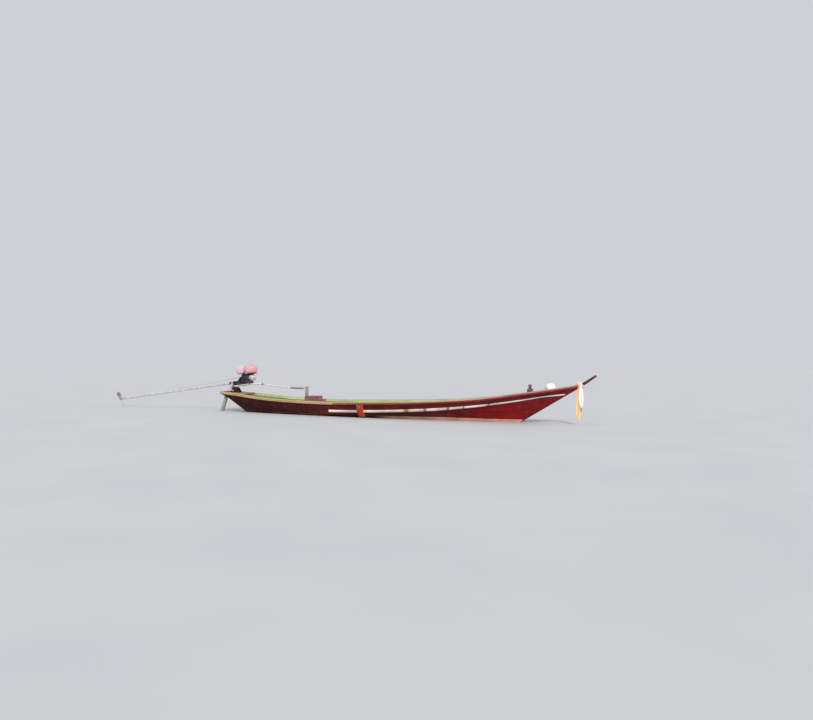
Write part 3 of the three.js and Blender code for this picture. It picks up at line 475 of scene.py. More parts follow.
plank_groups = [
    # node, levels of the plank edges, finish, slot
    ("bottom_planking", (0, 0.5, 1, 1.5, 2), bottom_paint_and_shade, "cream_paint"),
    ("side_planking", (2, 2.34, 2.67, 3), side_paint, "maroon_paint"),
    ("top_strake", (3, 4), top_paint, "red_paint"),
]
for side_name, side in sides.items():
    for group, levels, paint, slot in plank_groups:
        strips = [plank(low, high, side) for low, high in zip(levels, levels[1:])]
        made(f"{group}_planks_{side_name}", strips, paint, slot, f"{group}_{side_name}")


# Backbone: the keel timber, the raked stem with the prow post, and the raked transom board, all
# sawn hardwood under the same maroon paint. Their edges are eased by hand and rubbed bare.
def bevelled(piece, width, segments, angle):
    bevel = piece.modifiers.new("ease", "BEVEL")
    bevel.width, bevel.segments = width, segments
    bevel.limit_method, bevel.angle_limit = "ANGLE", math.radians(angle)


def eased(material, ease, *node_names):
    """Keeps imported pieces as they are, with their finish and their edges eased."""
    for node_name in node_names:
        node = cad[node_name]
        if not node.material_slots:
            node.data.materials.append(material)
        for place in node.material_slots:
            place.material = material
        node.modifiers.new("weld", "WELD").merge_threshold = 2e-5
        bevelled(node, ease, 2, 34)
        node.modifiers.new("weights", "WEIGHTED_NORMAL").keep_sharp = False


post_paint = wood_finish("post_paint", (104, 50, 54), (140, 96, 88), grain="x", wear=0.3)
eased(post_paint, 0.004, "keel", "stem", "transom")

# Rails: one long sawn timber on each top strake, 86 mm wide. The aft lengths are bare tan wood,
# the forward lengths are red, and both have the lime inside paint on their inner faces. Their tops
# and the upper part of their outer sides show the pale worn colour as a painted highlight.
rail_out, rail_in = 0.024, 0.062
rail_joint_x = -1.0
# Each rail's pale worn colour, tan aft and pink forward, is also its painted highlight on the top.
bare_rail = wood_finish("bare_rail", (184, 148, 110), (206, 180, 142), inner=lime, wear=0.6, gloss=0.62)
red_rail = wood_finish("red_rail", [
    (-1.0, (148, 82, 72)), (0.62, (140, 66, 58)), (1.2, (128, 42, 36)), (2.6, (142, 42, 40)),
    (4.2, (170, 44, 52)),
], (208, 148, 144), inner=lime, wear=0.10)


def rail_ring(along, side):
    x, half, under = section(along)[4]
    top = under + rail_depth
    outer, inner = half + rail_out, max(half - rail_in, stem_half + seam)
    ring = [
        # y, z
        (inner, under + 0.002),
        (inner + 0.002, under + seam),
        (outer - 0.003, under + seam),
        (outer, under + 0.003),
        (outer, top - 0.027),
        (outer, top - 0.020),
        (outer, top - 0.010),
        (outer - 0.003, top - 0.003),
        (outer - 0.010, top),
        ((outer + inner) / 2, top + 0.001),
        (inner + 0.007, top),
        (inner + 0.002, top - 0.002),
        (inner, top - 0.007),
    ]
    return [(x, side * y, z) for y, z in ring]


# Marks of 2.2 on the top and upper outer side make a painted highlight; the rest are edge wear.
rail_wear_and_highlight_marks = {
    "edge": [0.5, 0.3, 0.3, 0.5, 0, 2.2, 2.2, 2.2, 2.2, 2.2, 1.6, 1, 0.6],
    "inner": [1, 1, 0, 0, 0, 0, 0, 0, 0, 0, 0, 0, 1],
}
joint_along, joint_gap = along_at(rail_joint_x), 5e-5
for side_name, side in sides.items():
    for part, start, end, paint, slot in (
        ("aft", 0.0, joint_along - joint_gap, bare_rail, "rail_wood"),
        ("fore", joint_along + joint_gap, 1.0, red_rail, "red_paint"),
    ):
        stations = np.linspace(start, end, 64)
        timber = ([rail_ring(along, side) for along in stations], rail_wear_and_highlight_marks)
        made(f"rail_{part}_timber_{side_name}", [timber], paint, slot, f"rail_{part}_{side_name}")

# Rub strakes: lengths of half-round batten over the seam below the top strake, in white paint that
# is rubbed off to ochre wood at every butt. Each is nailed through to the ribs.
rub_half, rub_thick = 0.028, 0.022
rub_step, butt_gap = 0.06, 0.0008
rub_butts = [
    # x of the butt, how far the paint is rubbed off on each side
    (-1.115, 0), (0.690, 0.040), (1.095, 0.026), (1.580, 0.026), (1.895, 0.014), (2.390, 0.038), (3.907, 0),
]
white_paint = wood_finish("white_paint", (255, 240, 234), (188, 142, 94), wear=0.06)
rub_outline = [
    # distance up from the seam, distance out
    (-rub_half, seam), (-rub_half, rub_thick - 0.007), (-rub_half + 0.003, rub_thick - 0.002),
    (-rub_half + 0.009, rub_thick), (0, rub_thick + 0.0006), (rub_half - 0.009, rub_thick),
    (rub_half - 0.003, rub_thick - 0.002), (rub_half, rub_thick - 0.007), (rub_half, seam), (0, seam),
]
for side_name, side in sides.items():
    strips = []
    for (aft, aft_rub), (fore, fore_rub) in zip(rub_butts, rub_butts[1:]):
        xs = [aft + butt_gap, aft + aft_rub, aft + 1.4 * aft_rub]
        xs += [fore - 1.4 * fore_rub, fore - fore_rub, fore - butt_gap]
        xs += list(np.linspace(aft + rub_step, fore - rub_step, max(4, int((fore - aft) / rub_step))))
        rings, rubbed = [], []
        for x in sorted({round(x, 5) for x in xs}):
            along = along_at(x, 3.0)
            rings.append([skin(along, level_from(along, 3, up), out, side) for up, out in rub_outline])
            near = (aft_rub and x <= aft + aft_rub) or (fore_rub and x >= fore - fore_rub)
            rubbed.append([2.2 if near else 0.0] * len(rub_outline))
        strips.append((rings, {"edge": rubbed}))
    made(f"rub_batten_{side_name}", strips, white_paint, "white_paint", f"rub_strake_{side_name}")

# Fender strips: a short upright board on each side amidships, notched over the white strake, in
# orange-red paint that is scuffed to yellow ochre at its foot.
fender_aft, fender_fore, fender_thick = -0.430, -0.282, 0.040
fender_foot, fender_head = 2.04, 3.99
notch, over = rub_half + 0.001, rub_thick + 0.001
orange_paint = wood_finish("orange_paint", (222, 78, 52), (196, 148, 92), wear=0.22)
for side_name, side in sides.items():
    rings = []
    for along in np.linspace(along_at(fender_aft), along_at(fender_fore), 3):
        low, high = level_from(along, 3, -notch), level_from(along, 3, notch)
        ring = [(fender_foot, 0), (low, 0), (low, over), (3, over), (high, over), (high, 0), (fender_head, 0)]
        ring += [(level, fender_thick) for level in (fender_head, 3, 2.32, fender_foot)]
        rings.append([skin(along, level, out, side) for level, out in ring])
    scuffed = {"edge": [2.2, 0, 0, 0, 0, 0, 0.4, 0.6, 0, 0.3, 2.2]}
    piece = lofted(f"fender_board_{side_name}", [(rings, scuffed)])
    bevelled(piece, 0.006, 3, 40)
    fitted(piece, "hull", orange_paint, "orange_paint", f"fender_strip_{side_name}")

# Inside framing: sawn ribs with the risers that carry the thwarts, floor timbers and keelson, all
# lime green, and thwarts of bare grey boards.
inside_paint = wood_finish("inside_paint", lime, (150, 138, 112), grain="z", wear=0.4)
across_paint = wood_finish("across_paint", lime, (150, 138, 112), grain="y", wear=0.42)
thwart_wood = wood_finish("thwart_wood", (176, 164, 148), (152, 138, 120), grain="y", wear=0.5, gloss=0.7)
eased(inside_paint, 0.0025, "ribs_starboard", "ribs_port")
eased(across_paint, 0.0025, "floor_timbers")
eased(thwart_wood, 0.005, "thwart_1", "thwart_2", "thwart_3")
eased(across_paint, 0.005, "thwart_4")
eased(across_paint, 0.003, "sterndeck")

# Floorboards: loose panels of seven boards on the floor timbers, painted lime and trodden bare
# along the middle.
floor_top, board_thick = -0.052, 0.020
board_count, board_gap, board_ease = 7, 0.005, 0.003
board_stations, side_clear = 9, 0.012
board_marks = {"edge": [0, 0, 1, 0.7, 0.7, 1]}
floor_paint = wood_finish("floor_paint", (142, 176, 104), (150, 138, 112), wear=0.62)


def board_ring(inner, outer, low, top, ease, drop):
    """Section of a board from low to top, with its two upper edges eased."""
    return [(inner, low), (outer, low), (outer, top - drop), (outer - ease, top), (inner + ease, top),
            (inner, top - drop)]


for node_name, aft, fore in (("floorboards_aft", -2.430, -0.280), ("floorboards_fore", -0.274, 1.830)):
    stations = [(x, inside_half(x, floor_top, side_clear)) for x in np.linspace(aft, fore, board_stations)]
    strips = []
    for board in range(board_count):
        rings = []
        for x, half in stations:
            inner = -half + 2 * half * board / board_count + (board_gap / 2 if board else 0)
            outer = -half + 2 * half * (board + 1) / board_count
            outer -= board_gap / 2 if board < board_count - 1 else 0
            low = floor_top + seam
            ring = board_ring(inner, outer, low, low + board_thick, board_ease, board_ease)
            rings.append([(x, y, z) for y, z in ring])
        strips.append((rings, board_marks))
    made(f"{node_name}_boards", strips, floor_paint, "lime_paint", node_name)

# Foredeck: six tapered boards from the stem back to a beam, under maroon paint. They lie on the
# inside of the top strakes and part round the head of the stem.
deck_level, deck_thick, deck_aft, deck_end = 3.42, 0.024, 2.760, 0.965
deck_boards, deck_stations, deck_gap, stem_from = 3, 24, 0.0012, 3.62
beam_wide, beam_deep, beam_splay = 0.045, 0.060, 0.012
deck_paint = wood_finish("deck_paint", (120, 44, 44), (150, 112, 92), wear=0.42)


def deck_edge(along):
    return skin(along, deck_level, -planking - seam)


strips = []
for side in sides.values():
    for board in range(deck_boards):
        rings = []
        for along in np.linspace(along_at(deck_aft), deck_end, deck_stations):
            x, half, top = deck_edge(along)
            clear_of_stem = stem_half + 2 * seam if x > stem_from else 0
            inner = max(half * board / deck_boards + deck_gap, clear_of_stem)
            outer = max(half * (board + 1) / deck_boards - deck_gap, inner + 0.002)
            ease = min(0.003, (outer - inner) / 3)
            ring = board_ring(inner, outer, top - deck_thick, top, ease, ease)
            rings.append([(x, side * y, z) for y, z in ring])
        strips.append((rings, board_marks))
beam_rings = []
for along in np.linspace(along_at(deck_aft), along_at(deck_aft + beam_wide), 3):
    x, half, top = deck_edge(along)
    foot = half - beam_splay
    beam_rings.append([(x, -half, top - deck_thick), (x, half, top - deck_thick),
                       (x, foot, top - beam_deep), (x, -foot, top - beam_deep)])
strips.append(beam_rings)
made("foredeck_boards", strips, deck_paint, "maroon_paint", "foredeck")


# Fasteners: nail heads under the paint in every plank where it crosses a rib, nails through the
# white strake and the decks, and bolts through the fender strips. One node tree copies a small
# shape to every spot, as it does for the engine's bolts, fins and slots.
def new_group(name, taken, given, values):
    """A node group from one geometry to another, with its named values between them."""
    tree = bpy.data.node_groups.new(name, "GeometryNodeTree")
    inputs = [(taken, "Geometry"), *values.items()]
    for way, sockets in (("INPUT", inputs), ("OUTPUT", [(given, "Geometry")])):
        for socket, kind in sockets:
            tree.interface.new_socket(socket, in_out=way, socket_type=f"NodeSocket{kind}")
    return tree, add(tree, "NodeGroupInput").outputs


def copying_tree():
    """Sets a shape on every point, with its z on the facing attribute and its x on the along attribute."""
    tree, given = new_group("copies_on_spots", "Spots", "Copies", {
        "Shape": "Object", "Size": "Float", "Size spread": "Float", "Seed": "Int", "Finish": "Material",
    })
    facing, along = (
        add(tree, "GeometryNodeInputNamedAttribute", {"Name": word}, data_type="FLOAT_VECTOR")
        for word in ("facing", "along")
    )
    turned = add(tree, "FunctionNodeAxesToRotation", {0: facing, 1: along},
                 primary_axis="Z", secondary_axis="X")
    spread = add(tree, "FunctionNodeRandomValue", {2: -1.0, 3: 1.0, "Seed": given["Seed"]}, data_type="FLOAT")
    change = product(tree, spread.outputs[1], given["Size spread"])
    size = add(tree, "ShaderNodeMath", {0: given["Size"], 1: change})
    shape = add(tree, "GeometryNodeObjectInfo", {"Object": given["Shape"]}).outputs["Geometry"]
    copies = add(tree, "GeometryNodeInstanceOnPoints", {
        "Points": given["Spots"], "Instance": shape, "Rotation": turned, "Scale": size,
    })
    real = add(tree, "GeometryNodeRealizeInstances", {"Geometry": copies})
    dressed = add(tree, "GeometryNodeSetMaterial", {"Geometry": real, "Material": given["Finish"]})
    add(tree, "NodeGroupOutput", {0: dressed})
    return tree


copies_on_spots = copying_tree()


def grown(name, base, tree, values):
    """Runs a node tree on a base mesh and keeps the result as a plain mesh."""
    host = placed(name + "_base", base)
    modifier = host.modifiers.new("grow", "NODES")
    modifier.node_group = tree
    for socket in tree.interface.items_tree:
        if socket.in_out == "INPUT" and socket.name in values:
            modifier[socket.identifier] = values[socket.name]
    bpy.context.view_layer.update()
    evaluated = host.evaluated_get(bpy.context.evaluated_depsgraph_get())
    mesh = bpy.data.meshes.new_from_object(evaluated)
    bpy.data.objects.remove(host)
    return placed(name, mesh)


def copied(name, spots, shape, material, body, slot, spread=0.0, seed=1, matrix=Matrix()):
    """Sets a shape on spots, which are (place, facing, along) before the matrix moves them."""
    base = bpy.data.meshes.new(name)
    base.from_pydata([tuple(spot[0]) for spot in spots], [], [])
    base.transform(matrix)
    turn = np.array(matrix.to_3x3())
    for index, word in ((1, "facing"), (2, "along")):
        layer = base.attributes.new(word, "FLOAT_VECTOR", "POINT")
        turned = np.array([spot[index] for spot in spots], float) @ turn.T
        layer.data.foreach_set("vector", turned.astype(np.float32).ravel())
    piece = grown(name, base, copies_on_spots, {
        "Shape": shape, "Size": 1.0, "Size spread": spread, "Seed": seed, "Finish": material,
    })
    return fitted(piece, body, material, slot)


def pattern(name, *strips):
    """A small shape that is only there to be copied."""
    shape = lofted(name, strips, crease=30)
    shape.hide_render = True
    return shape


def circle(count, closed=False, start=0.0):
    """Cosine and sine of even turns. A closed circle ends where it starts."""
    turns = np.linspace(0, 2 * math.pi, count + closed, endpoint=closed) + start
    return [(math.cos(turn), math.sin(turn)) for turn in turns]


def lathed(profile, sides, place=(0, 0, 0), axis=2, way=1):
    """Rings about an axis through a place, from rows of (distance along the axis, radius)."""
    first, second = (other for other in range(3) if other != axis)
    rings = []
    for out, radius in profile:
        middle = np.array(place, float)
        middle[axis] += way * out
        ring = np.tile(middle, (sides, 1))
        ring[:, [first, second]] += max(radius, 1e-5) * np.array(circle(sides))
        rings.append(ring)
    return rings


def metal_finish(name, bright, dull, metallic=0.9, rough=0.4, dirt=0.35, stain=(112, 62, 36)):
    """Cast, rolled or painted metal with grime in patches and a few stained spots."""
    material, tree, shader = new_finish(name, metallic=metallic)
    place = object_place(tree)
    patch = noise(tree, place, 11, detail=6)
    grit = noise(tree, place, 190, detail=3)
    spots = noise(tree, place, 34, detail=5)
    base = blended(tree, ranged(tree, patch, 0.36, 0.64), tone(bright), tone(dull))
    grimy = summed(tree, (spots, 0.7), (patch, 0.3))
    grimy = ranged(tree, grimy, 0.62 - 0.2 * dirt, 0.72 - 0.2 * dirt, 0, 0.85)
    roughness = ranged(tree, summed(tree, (patch, 0.5), (grimy, 0.5)), 0.2, 0.8, rough, min(rough + 0.4, 1))
    wired(tree, shader, base_color=blended(tree, grimy, base, tone(stain)), roughness=roughness)
    bumped(tree, shader, summed(tree, (grit, 0.5), (spots, 0.5)), 0.22, 0.0006)
    return material


nail_iron = metal_finish("nail_iron", (112, 66, 58), (84, 46, 42), 0.3, 0.6, 0.5)
bolt_steel = metal_finish("bolt_steel", (168, 160, 152), (120, 104, 92), 0.85, 0.42, 0.5)
nail = pattern("nail_pattern", lathed([(-0.002, 0.0046), (0.0004, 0.0046), (0.0011, 0.0032), (0.0013, 0)], 8))
bolt = pattern(
    "bolt_pattern",
    lathed([(-0.002, 0.013), (0.0012, 0.013), (0.0018, 0.012), (0.0018, 0)], 20),
    lathed([(0.0018, 0.0075), (0.0058, 0.0075), (0.0066, 0.0066), (0.0066, 0)], 6),
)
nail_rows = [
    # level of the row's plank edge, distance from that edge
    (2, 0.013), (2.34, -0.013), (2.34, 0.013), (2.67, -0.013), (2.67, 0.013), (3, -0.036),
    (3, 0.034), (4, -0.013),
]
first_rib, rib_pitch, rib_count = -2.960, 0.545, 11
head_out, pair_half = 0.0006, 0.010
rub_head_out, butt_half = rub_thick + 0.0004, 0.022
fender_clear, bitt_at, bitt_clear = 0.02, 3.190, 0.09
along_step, out_step = 0.004, 0.02


def unit(vector):
    return vector / np.linalg.norm(vector)


def on_planks(x, level, out, side, across=0.0):
    """A spot on the outside of the hull, with the way it faces and the way the plank runs."""
    along = along_at(x, level)
    level = level_from(along, level, across)
    here, beyond = skin(along, level, out, side), skin(along, level, out + out_step, side)
    ahead = skin(min(along + along_step, 1.0), level, out, side)
    return here, unit(beyond - here), unit(ahead - here)


plank_spots, strake_spots, fender_spots, deck_spots = [], [], [], []
for side in sides.values():
    for x in [first_rib + rib_pitch * index for index in range(rib_count)]:
        for level, across in nail_rows:
            for near_x in (x - pair_half, x + pair_half):
                if not fender_aft - fender_clear < near_x < fender_fore + fender_clear:
                    plank_spots.append(on_planks(near_x, level, head_out, side, across))
        if x > rub_butts[0][0]:
            strake_spots += [on_planks(x, 3.0, rub_head_out, side, up) for up in (-pair_half, pair_half)]
    for butt, _ in rub_butts[1:-1]:
        strake_spots += [on_planks(x, 3.0, rub_head_out, side) for x in (butt - butt_half, butt + butt_half)]
    for level in (2.30, 3.70):
        fender_spots.append(on_planks((fender_aft + fender_fore) / 2, level, fender_thick, side))
    for x in (2.785, 3.05, 3.32, 3.59):
        along = along_at(x, deck_level)
        half, top = deck_edge(along)[1:]
        uphill = unit((deck_edge(along + along_step) - deck_edge(along)) * (1, 0, 1))
        for share in (0.10, 0.24, 0.43, 0.57, 0.76, 0.90):
            if math.hypot(x - bitt_at, half * share) > bitt_clear:
                spot = (x, side * half * share, top + 0.0002)
                deck_spots.append((spot, (-uphill[2], 0, uphill[0]), uphill))
nail_groups = {"plank_nails": plank_spots, "strake_nails": strake_spots, "deck_nails": deck_spots}
for seed, (name, spots) in enumerate(nail_groups.items(), 3):
    copied(name, spots, nail, nail_iron, "hull", "steel", 0.12, seed)
copied("fender_bolts", fender_spots, bolt, bolt_steel, "hull", "steel")

# Bitt: a square post through the foredeck with a cross pin, under worn dark red paint. Eight turns
# of three-strand blue rope are hauled tight round it.
bitt_paint = wood_finish("bitt_paint", (150, 84, 80), (176, 142, 124), grain="z", wear=0.55)
eased(bitt_paint, 0.004, "bow_bitt")
rope_low, rope_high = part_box("bitt_rope")
rope_thick, rope_turns, rope_tail = 0.020, 8, 14
rope_steps = 24
bitt_x = (rope_low[0] + rope_high[0]) / 2
rope_radius = (rope_high[0] - rope_low[0]) / 2 - rope_thick / 2
strand_share = 2 / math.sqrt(3)
strand = rope_thick / 2 / (1 + strand_share) * 1.02


def laying_tree():
    """Three round strands twisted about a path."""
    tree, given = new_group("laid_rope", "Path", "Rope", {
        "Strand": "Float", "Turns per metre": "Float", "Step": "Float", "Finish": "Material",
    })
    path = add(tree, "GeometryNodeMeshToCurve", {"Mesh": given["Path"]})
    even = add(tree, "GeometryNodeResampleCurve", {"Curve": path, "Length": given["Step"]}, mode="LENGTH")
    three = add(tree, "GeometryNodeDuplicateElements", {"Geometry": even, "Amount": 3}, domain="SPLINE")
    run = add(tree, "GeometryNodeSplineParameter").outputs["Length"]
    turned = summed(tree, (run, given["Turns per metre"]), (three.outputs["Duplicate Index"], 1 / 3))
    spin = add(tree, "ShaderNodeVectorRotate", {
        "Vector": add(tree, "GeometryNodeInputNormal"), "Axis": add(tree, "GeometryNodeInputTangent"),
        "Angle": product(tree, turned, 2 * math.pi),
    }, rotation_type="AXIS_ANGLE")
    reach = product(tree, given["Strand"], strand_share)
    aside = add(tree, "ShaderNodeVectorMath", {0: spin, "Scale": reach}, operation="SCALE")
    strands = add(tree, "GeometryNodeSetPosition", {"Geometry": three, "Offset": aside})
    ring = add(tree, "GeometryNodeCurvePrimitiveCircle", {"Resolution": 9, "Radius": given["Strand"]})
    solid = add(tree, "GeometryNodeCurveToMesh", {"Curve": strands, "Profile Curve": ring, "Fill Caps": True})
    smooth = add(tree, "GeometryNodeSetShadeSmooth", {0: solid})
    dressed = add(tree, "GeometryNodeSetMaterial", {"Geometry": smooth, "Material": given["Finish"]})
    add(tree, "NodeGroupOutput", {0: dressed})
    return tree


def fibre_finish(name, colour, faded, rough=0.85, fine=900):
    """Yarn or cloth: sun-faded patches, a fine weave in the bump, and a soft sheen."""
    material, tree, shader = new_finish(name, roughness=rough, sheen_weight=0.35, sheen_roughness=0.5)
    place = object_place(tree)
    patch = noise(tree, place, 14, detail=5)
    hair = noise(tree, place, fine, detail=3)
    base = blended(tree, ranged(tree, patch, 0.35, 0.68), tone(colour), tone(faded))
    shade = ranged(tree, hair, 0.25, 0.75, 0.78, 1.08)
    shaded = add(tree, "ShaderNodeVectorMath", {0: base, "Scale": shade}, operation="SCALE")
    wired(tree, shader, base_color=shaded.outputs[0])
    bumped(tree, shader, hair, 0.5, 0.0008)
    return material


rope_yarn = fibre_finish("rope_yarn", (72, 96, 106), (108, 128, 132))
path = []
for step in range((rope_turns - 1) * rope_steps + rope_tail):
    turn = step / rope_steps
    angle = 2 * math.pi * turn - 0.6
    rise = min(turn, rope_turns - 1) * (rope_high[2] - rope_low[2] - rope_thick) / (rope_turns - 1)
    path.append((bitt_x + rope_radius * math.cos(angle), -rope_radius * math.sin(angle),
                 rope_low[2] + rope_thick / 2 + rise))
rope_base = bpy.data.meshes.new("rope_path")
rope_base.from_pydata(path, [(i, i + 1) for i in range(len(path) - 1)], [])
bitt_rope = grown("bitt_rope_laid", rope_base, laying_tree(), {
    "Strand": strand, "Turns per metre": 16.0, "Step": 0.004, "Finish": rope_yarn,
})
fitted(bitt_rope, "hull", rope_yarn, "blue_rope", "bitt_rope")


# Float: a blown ball of white plastic that lies on the foredeck, with its mould seam round the
# middle and a moulded lug at one pole.
def plastic_finish(name, colour, aged, rough=0.38, grime=(120, 104, 84)):
    """Moulded plastic: yellowed patches, fine scratches and grime along them and in patches."""
    material, tree, shader = new_finish(name)
    place = object_place(tree)
    patch = noise(tree, place, 7, detail=5)
    scratch = noise(tree, place, 130, (1, 6, 1), 4)
    pebble = noise(tree, place, 420, detail=2)
    base = blended(tree, ranged(tree, patch, 0.38, 0.66), tone(colour), tone(aged))
    dirty = ranged(tree, summed(tree, (scratch, 0.5), (patch, 0.5)), 0.56, 0.68, 0, 0.4)
    wired(tree, shader, base_color=blended(tree, dirty, base, tone(grime)),
          roughness=ranged(tree, scratch, 0.3, 0.7, rough - 0.06, rough + 0.2))
    bumped(tree, shader, summed(tree, (pebble, 0.4), (scratch, 0.6)), 0.16, 0.0005)
    return material


ball_low, ball_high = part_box("float_ball")
seam_ridge = 0.0016
ball_radius = (ball_high[2] - ball_low[2]) / 2
shell_radius = ball_radius - seam_ridge
ball_middle = (ball_low + ball_high) / 2
float_skin = plastic_finish("float_skin", (250, 250, 246), (240, 235, 222), grime=(190, 180, 164))
ball_angles = [(math.pi * (step / 40 - 0.5), 0.022) for step in range(41)]
ball_angles += [(angle, 0.018) for angle in (-0.030, -0.015, 0.0, 0.015, 0.030)]
profile = set()
for angle, ridge_half in ball_angles:
    ridge = seam_ridge * math.exp(-((angle / ridge_half) ** 2))
    profile.add((shell_radius * math.sin(angle), shell_radius * math.cos(angle) + ridge))
lug_reach, lug_thick = 0.012, 0.0042
to_port = np.array([0, 1, 0])
lug_rings = []
for c, s in circle(24, closed=True):
    outward = np.array([c, 0, s])
    middle = lug_reach * outward + (0, 0, ball_radius - 0.014)
    lug_rings.append([middle + lug_thick * (a * outward + b * to_port) for a, b in circle(10)])
lying = Matrix.Translation(ball_middle) @ Matrix.Rotation(math.radians(68), 4, Vector((0.35, 0.94, 0)))
made("float_shell", [lathed(sorted(profile), 56), lug_rings], float_skin, "float_plastic", "float_ball",
     crease=50, matrix=lying)

# Cloth knot: a twisted bunch of white cloth wound three and a half times round the prow post, with
# its last turn tucked over on the near side and two loops laid back over the ends of the rails
rake = np.array([1160, 0, 723]) / math.hypot(1160, 723)
rake_up = np.array([-rake[2], 0, rake[0]])
knot_low, knot_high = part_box("prow_knot")
knot_middle = np.array((knot_low + knot_high) / 2)
knot_radius, bunch = 0.0525, 0.0112
wind_turns, wind_steps, crossing_steps = 3.6, 150, 40
white_cotton = fibre_finish("white_cotton", (244, 240, 236), (228, 218, 212), 0.9, 700)


def bunched(path, radius, lobes=5, twist=9.0, phase=0.0):
    """Rings of a twisted bunch of cloth along a path: a lumpy section that turns as it goes."""
    runs = runs_of(path)
    rings = []
    for run, point, tangent in zip(runs, path, np.gradient(path, axis=0)):
        first = unit(np.cross(unit(tangent), (0.3, 0.2, 0.93)))
        second = np.cross(unit(tangent), first)
        share = run / runs[-1]
        ends = min(1.0, 4 * min(share, 1 - share) + 0.55)
        swell = 1 + 0.10 * math.sin(31 * share + phase)
        ring = []
        for angle in np.linspace(0, 2 * math.pi, 22, endpoint=False):
            turned = angle + run * twist / 0.1 * 0.6 + phase
            fold = 1 - 0.16 * abs(math.sin(lobes * turned / 2)) + 0.06 * math.sin(3.1 * turned + 40 * share)
            reach = radius * ends * fold * swell
            ring.append(point + reach * (math.cos(angle) * first + math.sin(angle) * second))
        rings.append(ring)
    return rings


wound = []
for step in range(wind_steps):
    turn = wind_turns * step / (wind_steps - 1)
    angle = 2 * math.pi * turn + 1.2
    drift = (turn / wind_turns - 0.5) * 0.058 + 0.004 * math.sin(7 * turn)
    out = knot_radius + 0.0014 * math.sin(5.3 * turn)
    wound.append(knot_middle + rake * drift + out * (math.cos(angle) * to_port + math.sin(angle) * rake_up))
crossing = []
for step in range(crossing_steps):
    share = step / (crossing_steps - 1)
    angle = -0.75 * math.pi + 0.55 * math.pi * share
    out = knot_radius + 0.017 + 0.006 * math.sin(math.pi * share)
    drift = 0.034 - 0.068 * share
    crossing.append(knot_middle + rake * drift
                    + out * (math.sin(angle) * to_port + math.cos(angle) * rake_up * 0.6))
knot_parts = [bunched(wound, bunch), bunched(crossing, 0.0125, 4, 6, 1.3)]
loop_seat = np.array([rail_ends[1] + 0.035, 0, station_rows[-1][2] - 0.006])
loop_rows = [
    # reach aft, reach aside, height over the rails, radius of the cloth
    (0.075, 0.052, 0.0195, 0.0190),
    (0.062, 0.046, 0.0460, 0.0165),
]
for reach_x, reach_y, height, size in loop_rows:
    loop = [loop_seat + (-reach_x * math.cos(a), reach_y * math.sin(a), height + 0.003 * math.cos(3 * a))
            for a in np.linspace(-2.0, 2.0, 60)]
    knot_parts.append(bunched(loop, size, 5, 7, 60 * reach_x))
made("prow_knot_wound", knot_parts, white_cotton, "white_cloth", "prow_knot", crease=70)

# Ribbons: three cloth strips tied under the knot. They share one set of hanging folds, so the
# strips lie in one another, and the folds deepen where the cloth is gathered at the knot.
fold_pitch, fold_depth, fold_gather = 0.058, 0.0115, 0.46
ribbon_layer, cloth_thick = 0.0062, 0.0007
ribbon_top, gather_x, gather_foot, gather_length = 0.806, 4.2160, 0.056, 0.075
foot_share, foot_taper, foot_power = 0.30, 0.200, 1.4
row_pitch, columns_per_metre = 0.007, 480


def fold_share(slope):
    """Length of the folded cloth for each metre that it spans."""
    return np.mean(np.sqrt(1 + (slope * np.cos(np.linspace(0, 2 * math.pi, 64, endpoint=False))) ** 2))


@functools.lru_cache(None)
def fold_at(gather):
    """Depth of the folds that keeps the cloth's own width where it is gathered to this share."""
    wave = 2 * math.pi / (fold_pitch * gather)
    need = fold_share(2 * math.pi * fold_depth / fold_pitch) / gather
    return bisected(lambda slope: fold_share(slope) >= need, 0.1, 12.0) / wave


def ribbon_point(across, down, length, aft, fore, layer):
    """A point of a ribbon: across from 0 to 1, and down in metres from its top."""
    gather = fold_gather + (1 - fold_gather) * (1 - math.exp(-max(down - gather_foot, 0) / gather_length))
    narrow = 1 - (1 - foot_share) * max(1 - (length - down) / foot_taper, 0) ** foot_power
    x = ((aft + fore) / 2 + (fore - aft) * (across - 0.5) * narrow - gather_x) * gather
    phase = 2 * math.pi * x / (fold_pitch * gather) + 1.1 + 1.6 * down
    depth = fold_at(round(gather, 3))
    sway = 0.010 * math.sin(2.2 * down) - 0.004 * math.sin(9 * down)
    fold = 0.6 * depth * math.sin(phase) - 0.4 * depth
    y = knot_low[1] - 0.0035 - layer * ribbon_layer + fold - 0.010 * down
    return gather_x + x + sway, y, ribbon_top - down


def ribbon_finish(name, colour, faded, edge):
    """Thin woven cloth, faded down its length, with a stitched edge."""
    material, tree, shader = new_finish(name, roughness=0.78, sheen_weight=0.4, sheen_roughness=0.4)
    spot = add(tree, "ShaderNodeUVMap", uv_map="Cloth").outputs[0]
    parts = add(tree, "ShaderNodeSeparateXYZ", {0: spot}).outputs
    warp, weft = (
        add(tree, "ShaderNodeTexWave", {"Vector": spot, "Scale": 260.0, "Distortion": 1.2, "Detail": 2.0},
            bands_direction=way).outputs["Fac"]
        for way in "XY"
    )
    patch = noise(tree, spot, 9, (1, 0.4, 1), 5)
    fading = ranged(tree, summed(tree, (patch, 0.8), (parts[1], 0.3)), 0.35, 0.75)
    base = blended(tree, fading, tone(colour), tone(faded))
    wired(tree, shader, base_color=blended(tree, ranged(tree, parts[2], 0.5, 0.9), base, tone(edge)))
    bumped(tree, shader, summed(tree, (warp, 0.5), (weft, 0.5)), 0.3, 0.0004)
    return material


